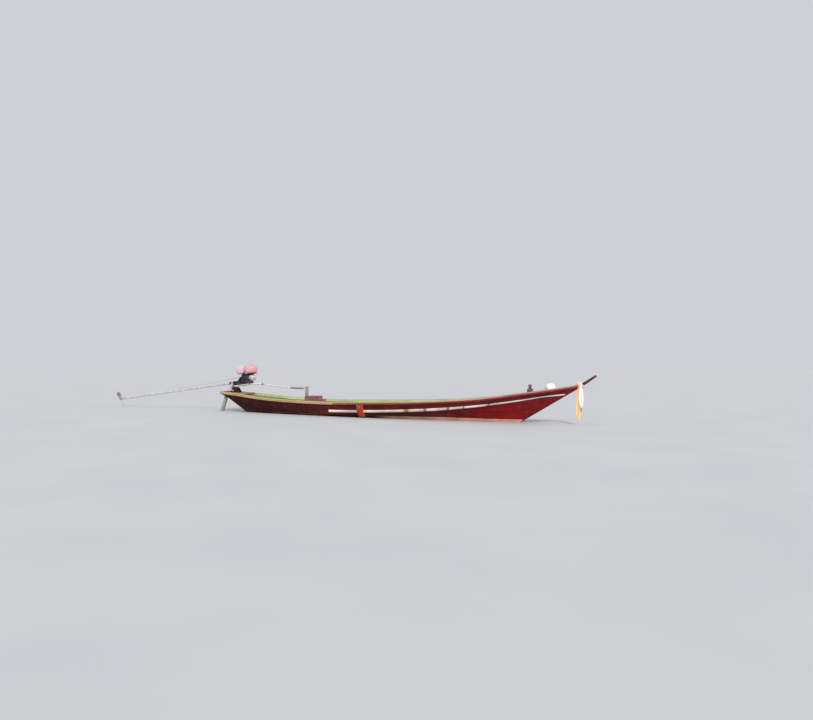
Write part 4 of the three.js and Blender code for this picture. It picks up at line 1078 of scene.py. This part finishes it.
ribbon_rows = [
    # colour, aft x, fore x, foot z, finish and its three colours
    ("yellow", 4.121, 4.231, 0.100, "yellow_cotton", (252, 200, 120), (248, 210, 152), (226, 168, 84)),
    ("pink", 4.184, 4.258, 0.268, "pink_cotton", (196, 148, 148), (176, 150, 146), (170, 116, 120)),
    ("white", 4.176, 4.282, 0.342, "white_lawn", (246, 248, 248), (232, 234, 236), (228, 230, 230)),
]
for layer, (colour, aft, fore, foot, finish, fresh, faded, hem) in enumerate(ribbon_rows):
    length = ribbon_top - foot
    rows, columns = int(length / row_pitch), int((fore - aft) * columns_per_metre)
    cut_width = (fore - aft) * fold_share(2 * math.pi * fold_depth / fold_pitch)
    points, spots, faces = [], [], []
    for row in range(rows + 1):
        down = length * row / rows
        for column in range(columns + 1):
            across = column / columns
            points.append(ribbon_point(across, down, length, aft, fore, layer))
            spots.append((across * cut_width, down))
            if row < rows and column < columns:
                corner = row * (columns + 1) + column
                faces.append((corner, corner + 1, corner + columns + 2, corner + columns + 1))
    mesh = bpy.data.meshes.new(f"ribbon_{colour}_cloth")
    mesh.from_pydata(points, [], faces)
    grain = mesh.uv_layers.new(name="Cloth")
    grain.data.foreach_set("uv", np.array([spots[i] for face in faces for i in face], np.float32).ravel())
    mesh.shade_smooth()
    piece = placed(f"ribbon_{colour}_cloth", mesh)
    thick = piece.modifiers.new("cloth", "SOLIDIFY")
    thick.thickness, thick.offset = cloth_thick, 0
    cloth = ribbon_finish(finish, fresh, faded, hem)
    fitted(piece, "hull", cloth, f"{colour}_cloth", f"ribbon_{colour}")

# Stern: the board let in between the rails, the raked post that carries the engine, the weathered
# leg on the transom, and the thin post beside the tiller.
grey_upright = wood_finish("grey_upright", (190, 184, 170), (152, 142, 126), grain="z", wear=0.3, gloss=0.68)
pale_post = wood_finish("pale_post", (255, 236, 232), (206, 180, 172), grain="z", wear=0.2, gloss=0.6)
board_wood = wood_finish("board_wood", (196, 156, 132), (208, 168, 136), grain="y", wear=0.6, gloss=0.62)
eased(board_wood, 0.005, "stern_board")
eased(pale_post, 0.004, "engine_post")
eased(grey_upright, 0.005, "stern_leg")
eased(grey_upright, 0.004, "tiller_post")

# Helmsman's box: painted plywood with a lower tray in front, battens at its corners and under its
# edges, and a lid on two steel straps.
box_paint = wood_finish("box_paint", (188, 116, 132), (166, 118, 116), grain="x", wear=0.4, gloss=0.5)
batten_paint = wood_finish("batten_paint", (164, 104, 118), (160, 122, 112), wear=0.5, gloss=0.5)
hinge_steel = metal_finish("hinge_steel", (150, 144, 136), (104, 90, 78), 0.85, 0.45, 0.6)
eased(box_paint, 0.003, "helm_box")
eased(box_paint, 0.005, "helm_box_lid")
box_low, box_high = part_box("helm_box")
box_step, tray_top = -1.650, 0.342
batten, batten_thick, batten_gap = 0.034, 0.009, 0.004
batten_ease, batten_drop = 0.003, 0.002
upright_rows = [
    # aft edge, top
    (box_low[0] + batten_gap, box_high[2] - 0.004),
    (box_step - batten - batten_gap, box_high[2] - 0.004),
    (box_high[0] - batten - batten_gap, tray_top),
]
level_rows = [
    # aft end, fore end, lower edge
    (box_low[0] + batten + 0.006, box_step - batten - 0.006, box_high[2] - 0.046),
    (box_step + 0.002, box_high[0] - batten - 0.006, 0.298),
]
strips = []
for side in sides.values():
    face = side * (box_high[1] + seam)
    for aft, top in upright_rows:
        ring = board_ring(aft, aft + batten, 0, batten_thick, batten_ease, batten_drop)
        rings = [[(x, face + side * y, z) for x, y in ring] for z in np.linspace(box_low[2] + 0.002, top, 5)]
        strips.append((rings, board_marks))
    for aft, fore, under in level_rows:
        over = under + batten + batten_ease
        ring = [(0, under), (batten_thick - batten_drop, under), (batten_thick, under + batten_ease),
                (batten_thick, under + batten), (batten_thick - batten_drop, over), (0, over)]
        rings = [[(x, face + side * y, z) for y, z in ring] for x in np.linspace(aft, fore, 5)]
        strips.append((rings, {"edge": [0, 1, 0.7, 0.7, 1, 0]}))
made("helm_box_battens", strips, batten_paint, "box_paint")
hinge_x, _, lid_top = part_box("helm_box_lid")[1]
barrel_profile = [(-0.032, 0.0042), (-0.031, 0.0050), (0.031, 0.0050), (0.032, 0.0042)]
strap_rows = [
    # distance aft of the hinge, half width
    (0.120, 0.007), (0.112, 0.013), (0.02, 0.020), (-0.002, 0.024),
]
strap_low, strap_high = lid_top + 0.0002, lid_top + 0.0022
strips = []
for y in (-0.10, 0.10):
    strips.append(lathed(barrel_profile, 16, (hinge_x + 0.0035, y, 0.4186), 1))
    strips.append([[(hinge_x - aft, y - half, strap_low), (hinge_x - aft, y + half, strap_low),
                    (hinge_x - aft, y + half, strap_high), (hinge_x - aft, y - half, strap_high)]
                   for aft, half in strap_rows])
made("lid_straps", strips, hinge_steel, "steel", body="box_lid")

# Engine frame: everything on the engine unit sits along the shaft line, which drops aft by
# 8.15 degrees from the swivel. The cradle, tank bracket, yoke and stay keep their shape from model.glb.
pivot = Vector((-3.95, 0, 0.672))
on_shaft = Matrix.Translation(pivot) @ Matrix.Rotation(math.radians(-8.15), 4, "Y")
on_engine = functools.partial(made, body="engine_unit", crease=42, matrix=on_shaft)
black_iron = metal_finish("black_iron", (54, 40, 48), (34, 26, 32), 0.35, 0.5, 0.3, (98, 58, 44))
cast_block = metal_finish("cast_block", (84, 74, 80), (54, 46, 52), 0.5, 0.46, 0.3, (56, 48, 46))
pale_steel = metal_finish("pale_steel", (222, 218, 220), (196, 190, 194), 0.25, 0.45, 0.1, (168, 150, 142))
bare_brass = metal_finish("bare_brass", (196, 190, 176), (158, 148, 128), 0.9, 0.3, 0.3, (110, 100, 72))
# The swivel yoke's iron is a pale pinkish white, much lighter than the other iron.
pale_pink_iron = metal_finish("pale_pink_iron", (226, 204, 204), (190, 166, 168), 0.1, 0.55, 0.12, (110, 80, 72))
eased(black_iron, 0.003, "engine_cradle", "tank_bracket")
eased(pale_pink_iron, 0.003, "swivel_yoke")
eased(pale_steel, 0.0015, "shaft_stay")


# Brace of the engine post: a flat iron plate on each side of it that leans back from the board to
# the post, with a foot that lies on the board.
def carried(outline, axis, stops):
    """Rings of one outline in the two other axes, at each stop along an axis."""
    return [[np.insert(pair, axis, stop) for pair in np.array(outline, float)] for stop in stops]


board_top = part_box("stern_board")[1][2] + seam
brace_inner, brace_outer, brace_foot = 0.0345, 0.0425, 0.07
brace_side = [(-3.872, board_top), (-3.735, board_top), (-3.735, board_top + 0.02), (-3.812, 0.566),
              (-3.82, 0.572), (-3.96, 0.572), (-3.968, 0.566), (-3.975, 0.545)]
foot_side = [(brace_outer + seam, 0), (brace_foot, 0), (brace_foot, 0.005), (brace_foot - 0.001, 0.006),
             (brace_outer + seam, 0.006)]
brace_parts = []
for side in sides.values():
    brace_parts.append(carried(brace_side, 1, (side * brace_inner, side * brace_outer)))
    foot = [(side * y, board_top + z) for y, z in foot_side]
    brace_parts.append(carried(foot, 0, (-3.87, -3.738)))
made("post_brace", brace_parts, black_iron, "dark_steel", crease=30)

# Cradle rails: a pale tube welded along each side of the cradle, in line with the tiller, with
# its edges eased at both ends.
rail_y, rail_z = 0.1043, -0.087
rail_profile = [(0.078, 0.0105), (0.0795, 0.012), (0.4845, 0.012), (0.486, 0.0105)]
cradle_tubes = [lathed(rail_profile, 24, (0, side * rail_y, rail_z), 0) for side in sides.values()]
tiller_steel = metal_finish(
    "tiller_steel", (236, 234, 236), (216, 214, 218), 0.1, 0.45, 0.05, (176, 160, 150),
)
on_engine("cradle_rails", cradle_tubes, tiller_steel, "steel", crease=34)


# Crankcase: a rounded casting with a ribbed side cover and a plug on each side, and bolts round the
# covers and the fan's flange.
def cast(corners, half, radius, bend=7):
    """Rings of a casting: a convex outline of (x, z) corners carried across y, rounded all over."""
    corners = np.array(corners, float)
    spans = np.roll(corners, -1, axis=0) - corners
    spans /= np.linalg.norm(spans, axis=1)[:, None]
    outward = np.stack([spans[:, 1], -spans[:, 0]], axis=1)
    rounded = []
    for index, corner in enumerate(corners):
        before, after = outward[index - 1], outward[index]
        core = corner - (before + after) * radius / (1 + before @ after)
        start = math.atan2(before[1], before[0])
        turn = (math.atan2(after[1], after[0]) - start) % (2 * math.pi)
        rounded += [(core, start + turn * step / (bend - 1)) for step in range(bend)]
    rings = []
    for end, leans in ((-1, np.linspace(0, math.pi / 2, bend)), (1, np.linspace(math.pi / 2, 0, bend))):
        for lean in leans:
            y = end * (half - radius + radius * math.cos(lean))
            reach = max(radius * math.sin(lean), 1e-4)
            rings.append([(x + reach * math.cos(a), y, z + reach * math.sin(a)) for (x, z), a in rounded])
    return rings


block_corners = [(0.13, -0.0697), (0.487, -0.0697), (0.487, 0.118), (0.28, 0.118), (0.13, -0.032)]
block_half, cover_face, cover_bolt, bolt_seat, rib_half = 0.118, 0.112, 0.87, 0.1185, 0.003
cover_rows = [
    # side, x, z, radius
    (-1, 0.33, 0.02, 0.08),
    (1, 0.236, -0.012, 0.054),
]
plug_profile = [(-0.004, 0.015), (0.01, 0.015), (0.014, 0.012), (0.014, 0)]
block_parts = [cast(block_corners, block_half, 0.014)]
bolt_spots = []
for side, cover_x, cover_z, reach in cover_rows:
    cover_profile = [(-0.006, reach), (0.003, reach), (0.006, reach - 0.004), (0.006, 0.6 * reach),
                     (0.01, 0.52 * reach), (0.01, 0)]
    block_parts.append(lathed(cover_profile, 48, (cover_x, side * cover_face, cover_z), 1, side))
    for c, s in circle(8):
        wide, proud = np.array([-s, 0, c]) * rib_half, np.array([0, side * 0.005, 0])
        spoke = []
        for share in (0.5, 0.93):
            middle = np.array([cover_x + share * reach * c, side * block_half, cover_z + share * reach * s])
            top = middle + proud
            spoke.append([middle - wide, middle + wide, top + 0.6 * wide, top - 0.6 * wide])
        block_parts.append(spoke)
    block_parts.append(lathed(plug_profile, 12, (0.45, side * 0.114, -0.045), 1, side))
    for c, s in circle(8, start=math.pi / 8):
        spot = (cover_x + cover_bolt * reach * c, side * bolt_seat, cover_z + cover_bolt * reach * s)
        bolt_spots.append((spot, (0, side, 0), (1, 0, 0)))
on_engine("crankcase_casting", block_parts, cast_block, "aluminium", "crankcase")
bolt_profile = [(-0.002, 0.0065), (0.0044, 0.0065), (0.0052, 0.0056), (0.0052, 0)]
small_bolt = pattern("small_bolt_pattern", lathed(bolt_profile, 6))


def round_x(count, x, reach, height=0.0, start=0.0):
    """Spots round a line along x, with the way that each faces."""
    ways = [np.array([0, c, s]) for c, s in circle(count, start=start)]
    return [(reach * facing + (x, 0, height), facing, (1, 0, 0)) for facing in ways]


def on_engine_spots(name, spots, shape, material, slot):
    return copied(name, spots, shape, material, "engine_unit", slot, matrix=on_shaft)


fan_z, flange_x, flange_reach = 0.062, 0.4985, 0.0773
bolt_spots += round_x(6, flange_x, flange_reach, fan_z, math.pi / 6)
on_engine_spots("crankcase_bolts", bolt_spots, small_bolt, bolt_steel, "steel")


# Cylinder: a finned block under the air cleaner, each of its five fins a plate with rounded
# corners.
def squared(c, s, power):
    """Reach of a circle that is drawn out to a square. High powers make it squarer."""
    return (abs(c) ** power + abs(s) ** power) ** (-1 / power)


def pillow(x, y, z, across=5.0, ends=5.0, count=31, around=44):
    """Rings of a rounded box between two values each of x, y and z."""
    middle = np.mean([x, y, z], axis=1)
    half = np.ptp([x, y, z], axis=1) / 2
    rings = []
    for step in range(count):
        place = math.sin(math.pi * (step / (count - 1) - 0.5))
        swell = max((1 - abs(place) ** ends) ** (1 / ends), 0.02)
        ring = []
        for c, s in circle(around):
            reach = squared(c, s, across) * swell
            ring.append(middle + half * (place, c * reach, s * reach))
        rings.append(ring)
    return rings


fin_count, fin_low, fin_pitch = 5, 0.1213, 0.011
fin_half_x, fin_half_y, fin_power = 0.055, 0.088, 0.22
fin_outline = [(fin_half_x * np.sign(c) * abs(c) ** fin_power, fin_half_y * np.sign(s) * abs(s) ** fin_power)
               for c, s in circle(56)]
fin_shape = pattern("fin_pattern", carried(fin_outline, 2, (0.0, 0.0007, 0.0043, 0.005)))
core = pillow((0.304, 0.386), (-0.074, 0.074), (0.1183, 0.1763), 12, 12, 15)
on_engine("cylinder_core", [core], cast_block, "aluminium", "cylinder_fins")
fin_spots = [((0.345, 0, fin_low + fin_pitch * index), (0, 0, 1), (1, 0, 0)) for index in range(fin_count)]
on_engine_spots("cylinder_fin_plates", fin_spots, fin_shape, cast_block, "aluminium")


# Air cleaner: a soft-edged box of pale pink plastic over the cylinder, with a seam band round it
# and a round knob on its top.
def band(x, y, z, thick, out, power):
    """Rings of a flange that runs round a pillow at one height, square to z."""
    rings = []
    lift, back = np.array([0, 0, thick]), 0.004
    for c, s in circle(72, closed=True):
        reach = squared(c, s, power)
        edge = np.array([np.mean(x) + c * reach * np.ptp(x) / 2, np.mean(y) + s * reach * np.ptp(y) / 2, z])
        away = np.array([c, s, 0])
        rings.append([edge - away * back - lift, edge + away * out - lift, edge + away * (out + 0.001),
                      edge + away * out + lift, edge - away * back + lift])
    return rings


cleaner_plastic = plastic_finish("cleaner_plastic", (226, 196, 208), (206, 176, 190), 0.34, (126, 92, 100))
cleaner_x, cleaner_y, cleaner_power = (0.136, 0.354), (-0.092, 0.092), 3.6
cleaner_parts = [
    pillow(cleaner_x, cleaner_y, (0.1766, 0.392), cleaner_power, cleaner_power, 37, 56),
    band(cleaner_x, cleaner_y, 0.262, 0.004, 0.0035, cleaner_power),
    lathed([(0.386, 0.026), (0.394, 0.024), (0.396, 0.01), (0.396, 0)], 28, (0.245, 0, 0)),
]
on_engine("air_cleaner_case", cleaner_parts, cleaner_plastic, "filter_plastic", "air_cleaner")

# Fuel tank: two pressed shells with a flange between them, and a screw cap with a knurled rim
# over the filler neck.
tank_enamel = plastic_finish("tank_enamel", (240, 178, 188), (224, 160, 170), 0.26, (150, 100, 96))
cap_plastic = plastic_finish("cap_plastic", (216, 160, 170), (196, 150, 158), 0.5, (120, 84, 84))
tank_x, tank_y, filler_x = (0.411, 0.651), (-0.132, 0.132), 0.531
tank_parts = [
    pillow(tank_x, tank_y, (0.158, 0.353), 3.4, 3.6, 41, 60),
    band(tank_x, tank_y, 0.252, 0.0022, 0.006, 3.6),
    lathed([(0.345, 0.04), (0.3535, 0.04), (0.3545, 0.038), (0.3545, 0.02)], 36, (filler_x, 0, 0)),
]
on_engine("fuel_tank_shell", tank_parts, tank_enamel, "tank_paint", "fuel_tank")
cap_rows = [
    # height, radius, share of the knurl's depth
    (0.3546, 0.0325, 0), (0.3555, 0.034, 1), (0.371, 0.034, 1), (0.375, 0.0315, 0.4),
    (0.3768, 0.027, 0), (0.3768, 0.02, 0), (0.3742, 0.018, 0), (0.3742, 0, 0),
]
knurl_deep = 0.0012
cap_rings = []
for z, radius, knurl in cap_rows:
    reaches = [max(radius - knurl_deep * knurl * (index % 4 in (0, 1)), 1e-5) for index in range(96)]
    cap_rings.append([(filler_x + reach * c, reach * s, z) for reach, (c, s) in zip(reaches, circle(96))])
on_engine("tank_cap_knurled", [cap_rings], cap_plastic, "dark_steel", "tank_cap", crease=30)

# Fan cover: a spun cover with the starter housing in the middle, and slots that let the air in
# round its rim and its cone.
cover_enamel = metal_finish("cover_enamel", (214, 212, 218), (192, 190, 198), 0.1, 0.4, 0.15, (122, 108, 100))
slot_black = plastic_finish("slot_black", (26, 24, 28), (38, 36, 40), 0.7)
fan_profile = [
    # distance along the shaft line, radius
    (0.4873, 0), (0.4873, 0.0775), (0.4885, 0.078), (0.5453, 0.078), (0.5476, 0.0786), (0.551, 0.0786),
    (0.5535, 0.0768), (0.572, 0.0728), (0.586, 0.0688), (0.59, 0.0665), (0.593, 0.06), (0.5965, 0.0585),
    (0.6195, 0.0428), (0.6225, 0.0388), (0.6255, 0.031), (0.628, 0.023), (0.6303, 0.015),
    (0.6313, 0.006), (0.6313, 0),
]
fan_cover = lathed(fan_profile, 64, (0, 0, fan_z), 0)
on_engine("fan_cover_spun", [fan_cover], cover_enamel, "cover_paint", "fan_cover", crease=34)
slot_outline = [(0.011 * c, 0.003 * s) for c, s in circle(16)]
slot_shape = pattern("slot_pattern", carried(slot_outline, 2, (-0.003, 0.0007)))
cone_out, cone_ahead = 0.826, 0.564
slot_spots = round_x(20, 0.526, 0.078, fan_z)
for spot, facing, _ in round_x(12, 0.608, 0.0507, fan_z):
    slot_spots.append((spot, facing * cone_out + (cone_ahead, 0, 0), (cone_out, 0, 0) - facing * cone_ahead))
on_engine_spots("fan_cover_slots", slot_spots, slot_shape, slot_black, "dark_steel")

# Silencer: a pressed box on the port side with a pipe, and a heat shield with five rows of round
# holes.
hot_steel = metal_finish("hot_steel", (96, 84, 80), (66, 52, 48), 0.7, 0.5, 0.8, (116, 66, 42))
muffler_parts = [
    pillow((0.3, 0.47), (0.1183, 0.196), (0.02, 0.112), 5, 6),
    pillow((0.31, 0.46), (0.188, 0.2), (0.028, 0.104), 8, 8, 15),
    lathed([(0.29, 0.006), (0.29, 0.013), (0.31, 0.013), (0.31, 0)], 20, (0, 0.16, 0.045), 0),
]
on_engine("muffler_pressed", muffler_parts, hot_steel, "dark_steel", "muffler")
hole_shape = pattern("hole_pattern", lathed([(-0.002, 0.0052), (0.0006, 0.0052), (0.0006, 0)], 12))
hole_spots = [((0.328 + 0.0173 * i + 0.0087 * (j % 2), 0.1999, 0.041 + 0.0125 * j), (0, 1, 0), (1, 0, 0))
              for i in range(7) for j in range(5)]
on_engine_spots("muffler_holes", hole_spots, hole_shape, slot_black, "dark_steel")

# Shaft: a bolted coupling, then the long tube with welded collars that reaches aft to the
# propeller.
coupling_profile = [
    # distance along the shaft line, radius
    (-0.092, 0), (-0.092, 0.029), (-0.09, 0.03), (-0.07, 0.0345), (-0.0668, 0.036), (-0.056, 0.036),
    (-0.055, 0.0335), (-0.052, 0.0335), (-0.051, 0.036), (-0.034, 0.036), (-0.0323, 0.0345), (-0.0323, 0),
]
collar_rows = [
    # fore end, length, height over the tube
    (-0.11, 0.03, 0.0055), (-1.524, 0.012, 0.003), (-1.608, 0.012, 0.003), (-3.02, 0.024, 0.0045),
]
tube = 0.028
tube_profile = [(-0.0923, 0), (-0.0923, tube)]
for collar, long, out in collar_rows:
    tube_profile += [(collar, tube), (collar - 0.002, tube + out), (collar - long, tube + out),
                     (collar - long - 0.002, tube)]
tube_profile += [(-3.306, tube), (-3.336, 0.024), (-3.3362, 0.011), (-3.398, 0.011), (-3.398, 0)]
coupling = lathed(coupling_profile, 40, axis=0)
on_engine("shaft_coupling_turned", [coupling], black_iron, "dark_steel", "shaft_coupling", crease=34)
fore_bolts, aft_bolts = (round_x(6, x, 0.0358, 0.0, 0.26) for x in (-0.043, -0.061))
on_engine_spots("coupling_bolts", fore_bolts + aft_bolts, small_bolt, bolt_steel, "steel")
shaft_tube = lathed(tube_profile, 40, axis=0)
on_engine("shaft_tube_drawn", [shaft_tube], pale_steel, "steel", "shaft_tube", crease=34)

# Propeller: two cast blades whose pitch eases towards the tip, on a tapered hub with a cone nut.
# All of it is bare brass and turns about the shaft line.
hub_profile = [
    # distance along the shaft line, radius
    (-3.342, 0.0115), (-3.342, 0.0252), (-3.344, 0.026), (-3.396, 0.026), (-3.398, 0.0256),
    (-3.4, 0.0232), (-3.406, 0.0205), (-3.418, 0.016), (-3.426, 0.012), (-3.431, 0.007), (-3.432, 0),
]
blade_rows = [
    # share of the blade's reach, share of its width, turn beyond the tip's pitch in degrees
    (0.08, 0.5, 25.0), (0.2, 0.7, 20.0), (0.4, 0.95, 12.0), (0.6, 1.02, 7.0), (0.75, 0.97, 3.5),
    (0.86, 0.82, 1.2), (0.94, 0.6, 0.4), (0.985, 0.36, 0.0), (1.0, 0.12, 0.0),
]
blade_reach, blade_wide, blade_thick, blade_pitch, blade_x = 0.19, 0.092, 0.0052, 34.0, -3.383
blade_turn = Matrix.Rotation(math.radians(25), 3, "X")
prop_parts = [lathed(hub_profile, 40, axis=0)]
for flip in (1, -1):
    rings = []
    for reach, wide, extra in blade_rows:
        angle = math.radians(blade_pitch + extra)
        half = blade_wide * wide / 2
        thick = blade_thick * (1 - 0.72 * reach)
        ring = []
        for c, s in circle(24):
            across, bulge = half * c, thick * s * (1 + 0.35 * c)
            ring.append(blade_turn @ Vector((
                blade_x + across * math.sin(angle) + bulge * math.cos(angle),
                flip * (across * math.cos(angle) - bulge * math.sin(angle)),
                flip * reach * blade_reach,
            )))
        rings.append(ring)
    prop_parts.append(rings)
made("propeller_cast", prop_parts, bare_brass, "brass", "propeller",
     body="propeller_body", crease=46, matrix=on_shaft)

# Tiller: a bent steel tube from the cradle's socket to a ribbed rubber grip, in two lengths that
# a clamp joins.
tiller_points = np.array([(0.264, 0, -0.094), (0.5, 0, -0.091), (0.747, 0, -0.117), (0.931, 0, -0.161),
                          (1.296, 0, -0.247), (1.606, 0, -0.315), (1.862, 0, -0.355)])
tiller_line = np.array([along_curve(tiller_points, share) for share in np.linspace(0, 1, 401)])
tiller_runs = runs_of(tiller_line)
grip_start, tube_joint = 0.79, 0.327
grip_bead, grip_tip, grip_ribs = 0.03, 0.965, 34


def tiller_at(run):
    return np.array([np.interp(run, tiller_runs, tiller_line[:, axis]) for axis in (0, 2)])


def tube_rings(start, end, count, radius):
    """Rings along the tiller between two shares of its length. The radius is a function of the share."""
    rings = []
    for share in np.linspace(start, end, count):
        run = share * tiller_runs[-1]
        x, z = tiller_at(run)
        ahead = min(run + 0.01, tiller_runs[-1])
        slope = math.atan2(*(tiller_at(ahead) - tiller_at(ahead - 0.02))[::-1])
        reach = radius(share)
        rings.append([(x - math.sin(slope) * reach * s, reach * c, z + math.cos(slope) * reach * s)
                      for c, s in circle(24)])
    return rings


def grip_radius(share):
    place = (share - grip_start) / (1 - grip_start)
    if place < grip_bead:
        return 0.0205
    if place > grip_tip:
        return 0.021 * math.sqrt(max(1 - ((place - grip_tip) / 0.0355) ** 2, 0.05))
    return 0.0188 + 0.0016 * abs(math.sin(math.pi * place * grip_ribs)) ** 0.5


tiller_parts = [
    tube_rings(0.0, tube_joint, 30, lambda share: 0.019),
    tube_rings(tube_joint - 0.002, grip_start - 0.0002, 50, lambda share: 0.015),
    pillow((0.2623, 0.288), (-0.022, 0.022), (-0.118, -0.072), 12, 14, 15),
]
on_engine("tiller_tube_bent", tiller_parts, tiller_steel, "steel", "tiller_tube", crease=40)
clamp = tube_rings(0.318, 0.336, 9, lambda share: 0.0195 if abs(share - tube_joint) > 0.0085 else 0.0225)
on_engine("tiller_clamp", [clamp], black_iron, "dark_steel", crease=40)
grip_rubber = plastic_finish("grip_rubber", (122, 136, 140), (136, 148, 150), 0.6, (92, 96, 96))
grip = tube_rings(grip_start + 0.0002, 1.0, 230, grip_radius)
on_engine("tiller_grip_ribbed", [grip], grip_rubber, "grip_rubber", "tiller_grip", crease=40)
for shape in (nail, bolt, small_bolt, fin_shape, slot_shape, hole_shape):
    bpy.data.objects.remove(shape)

# Floor: a pale plane at the waterline. It is open where the boat floats in it, so that the boards
# inside show, which lie below the waterline.
floor_reach, floor_out, bow_end, bow_tip = 400, -0.011, 2.93, 2.95
edge = []
for along in np.linspace(0.001, 0.999, 160):
    if skin(along, 0)[2] < -0.004 and skin(along, 4)[2] > 0:
        level = bisected(lambda level: skin(along, level, floor_out)[2] >= 0, 0.0, 4.0)
        x, y = skin(along, level, floor_out)[:2]
        if x < bow_end:
            edge.append((x, y))
outline = [(x, -y) for x, y in edge] + [(bow_tip, 0.0)] + edge[::-1]
count = len(outline)
far_ring = [Vector((x, y * 3, 0)).normalized() * floor_reach for x, y in outline]
faces = [(i, i + count, (i + 1) % count + count, (i + 1) % count) for i in range(count)]
mesh = bpy.data.meshes.new("floor")
mesh.from_pydata([(x, y, 0) for x, y in outline] + far_ring, [], faces)
floor = placed("floor", mesh)
floor_grey, tree, shader = new_finish("floor_grey", roughness=0.6)
shader.inputs["Specular IOR Level"].default_value = 0.1
patch = ranged(tree, noise(tree, object_place(tree), 0.7, detail=3), 0.3, 0.7)
wired(tree, shader, base_color=blended(tree, patch, tone((202, 204, 207)), tone((207, 208, 211))))
mesh.materials.append(floor_grey)
floor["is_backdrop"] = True

# Light: an open, hazy sky with a soft sun high on the starboard bow. The sky is as bright as the
# floor, so that no horizon shows.
sky_strength, sun_strength, sun_spread = 0.8, 2.15, 14
bpy.context.scene.view_settings.view_transform = "Standard"
world = bpy.data.worlds.new("sky")
bpy.context.scene.world = world
world.use_nodes = True
sky = world.node_tree.nodes["Background"].inputs
sky[0].default_value = tone((226, 230, 235))
sky[1].default_value = sky_strength
sun_data = bpy.data.lights.new("sun", "SUN")
sun_data.energy = sun_strength
sun_data.angle = math.radians(sun_spread)
sun_data.color = (1.0, 0.96, 0.9)
sun = bpy.data.objects.new("sun", sun_data)
sun.rotation_euler = Vector((-0.5, 0.76, -0.66)).to_track_quat("-Z", "Y").to_euler()
bpy.context.scene.collection.objects.link(sun)

low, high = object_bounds()
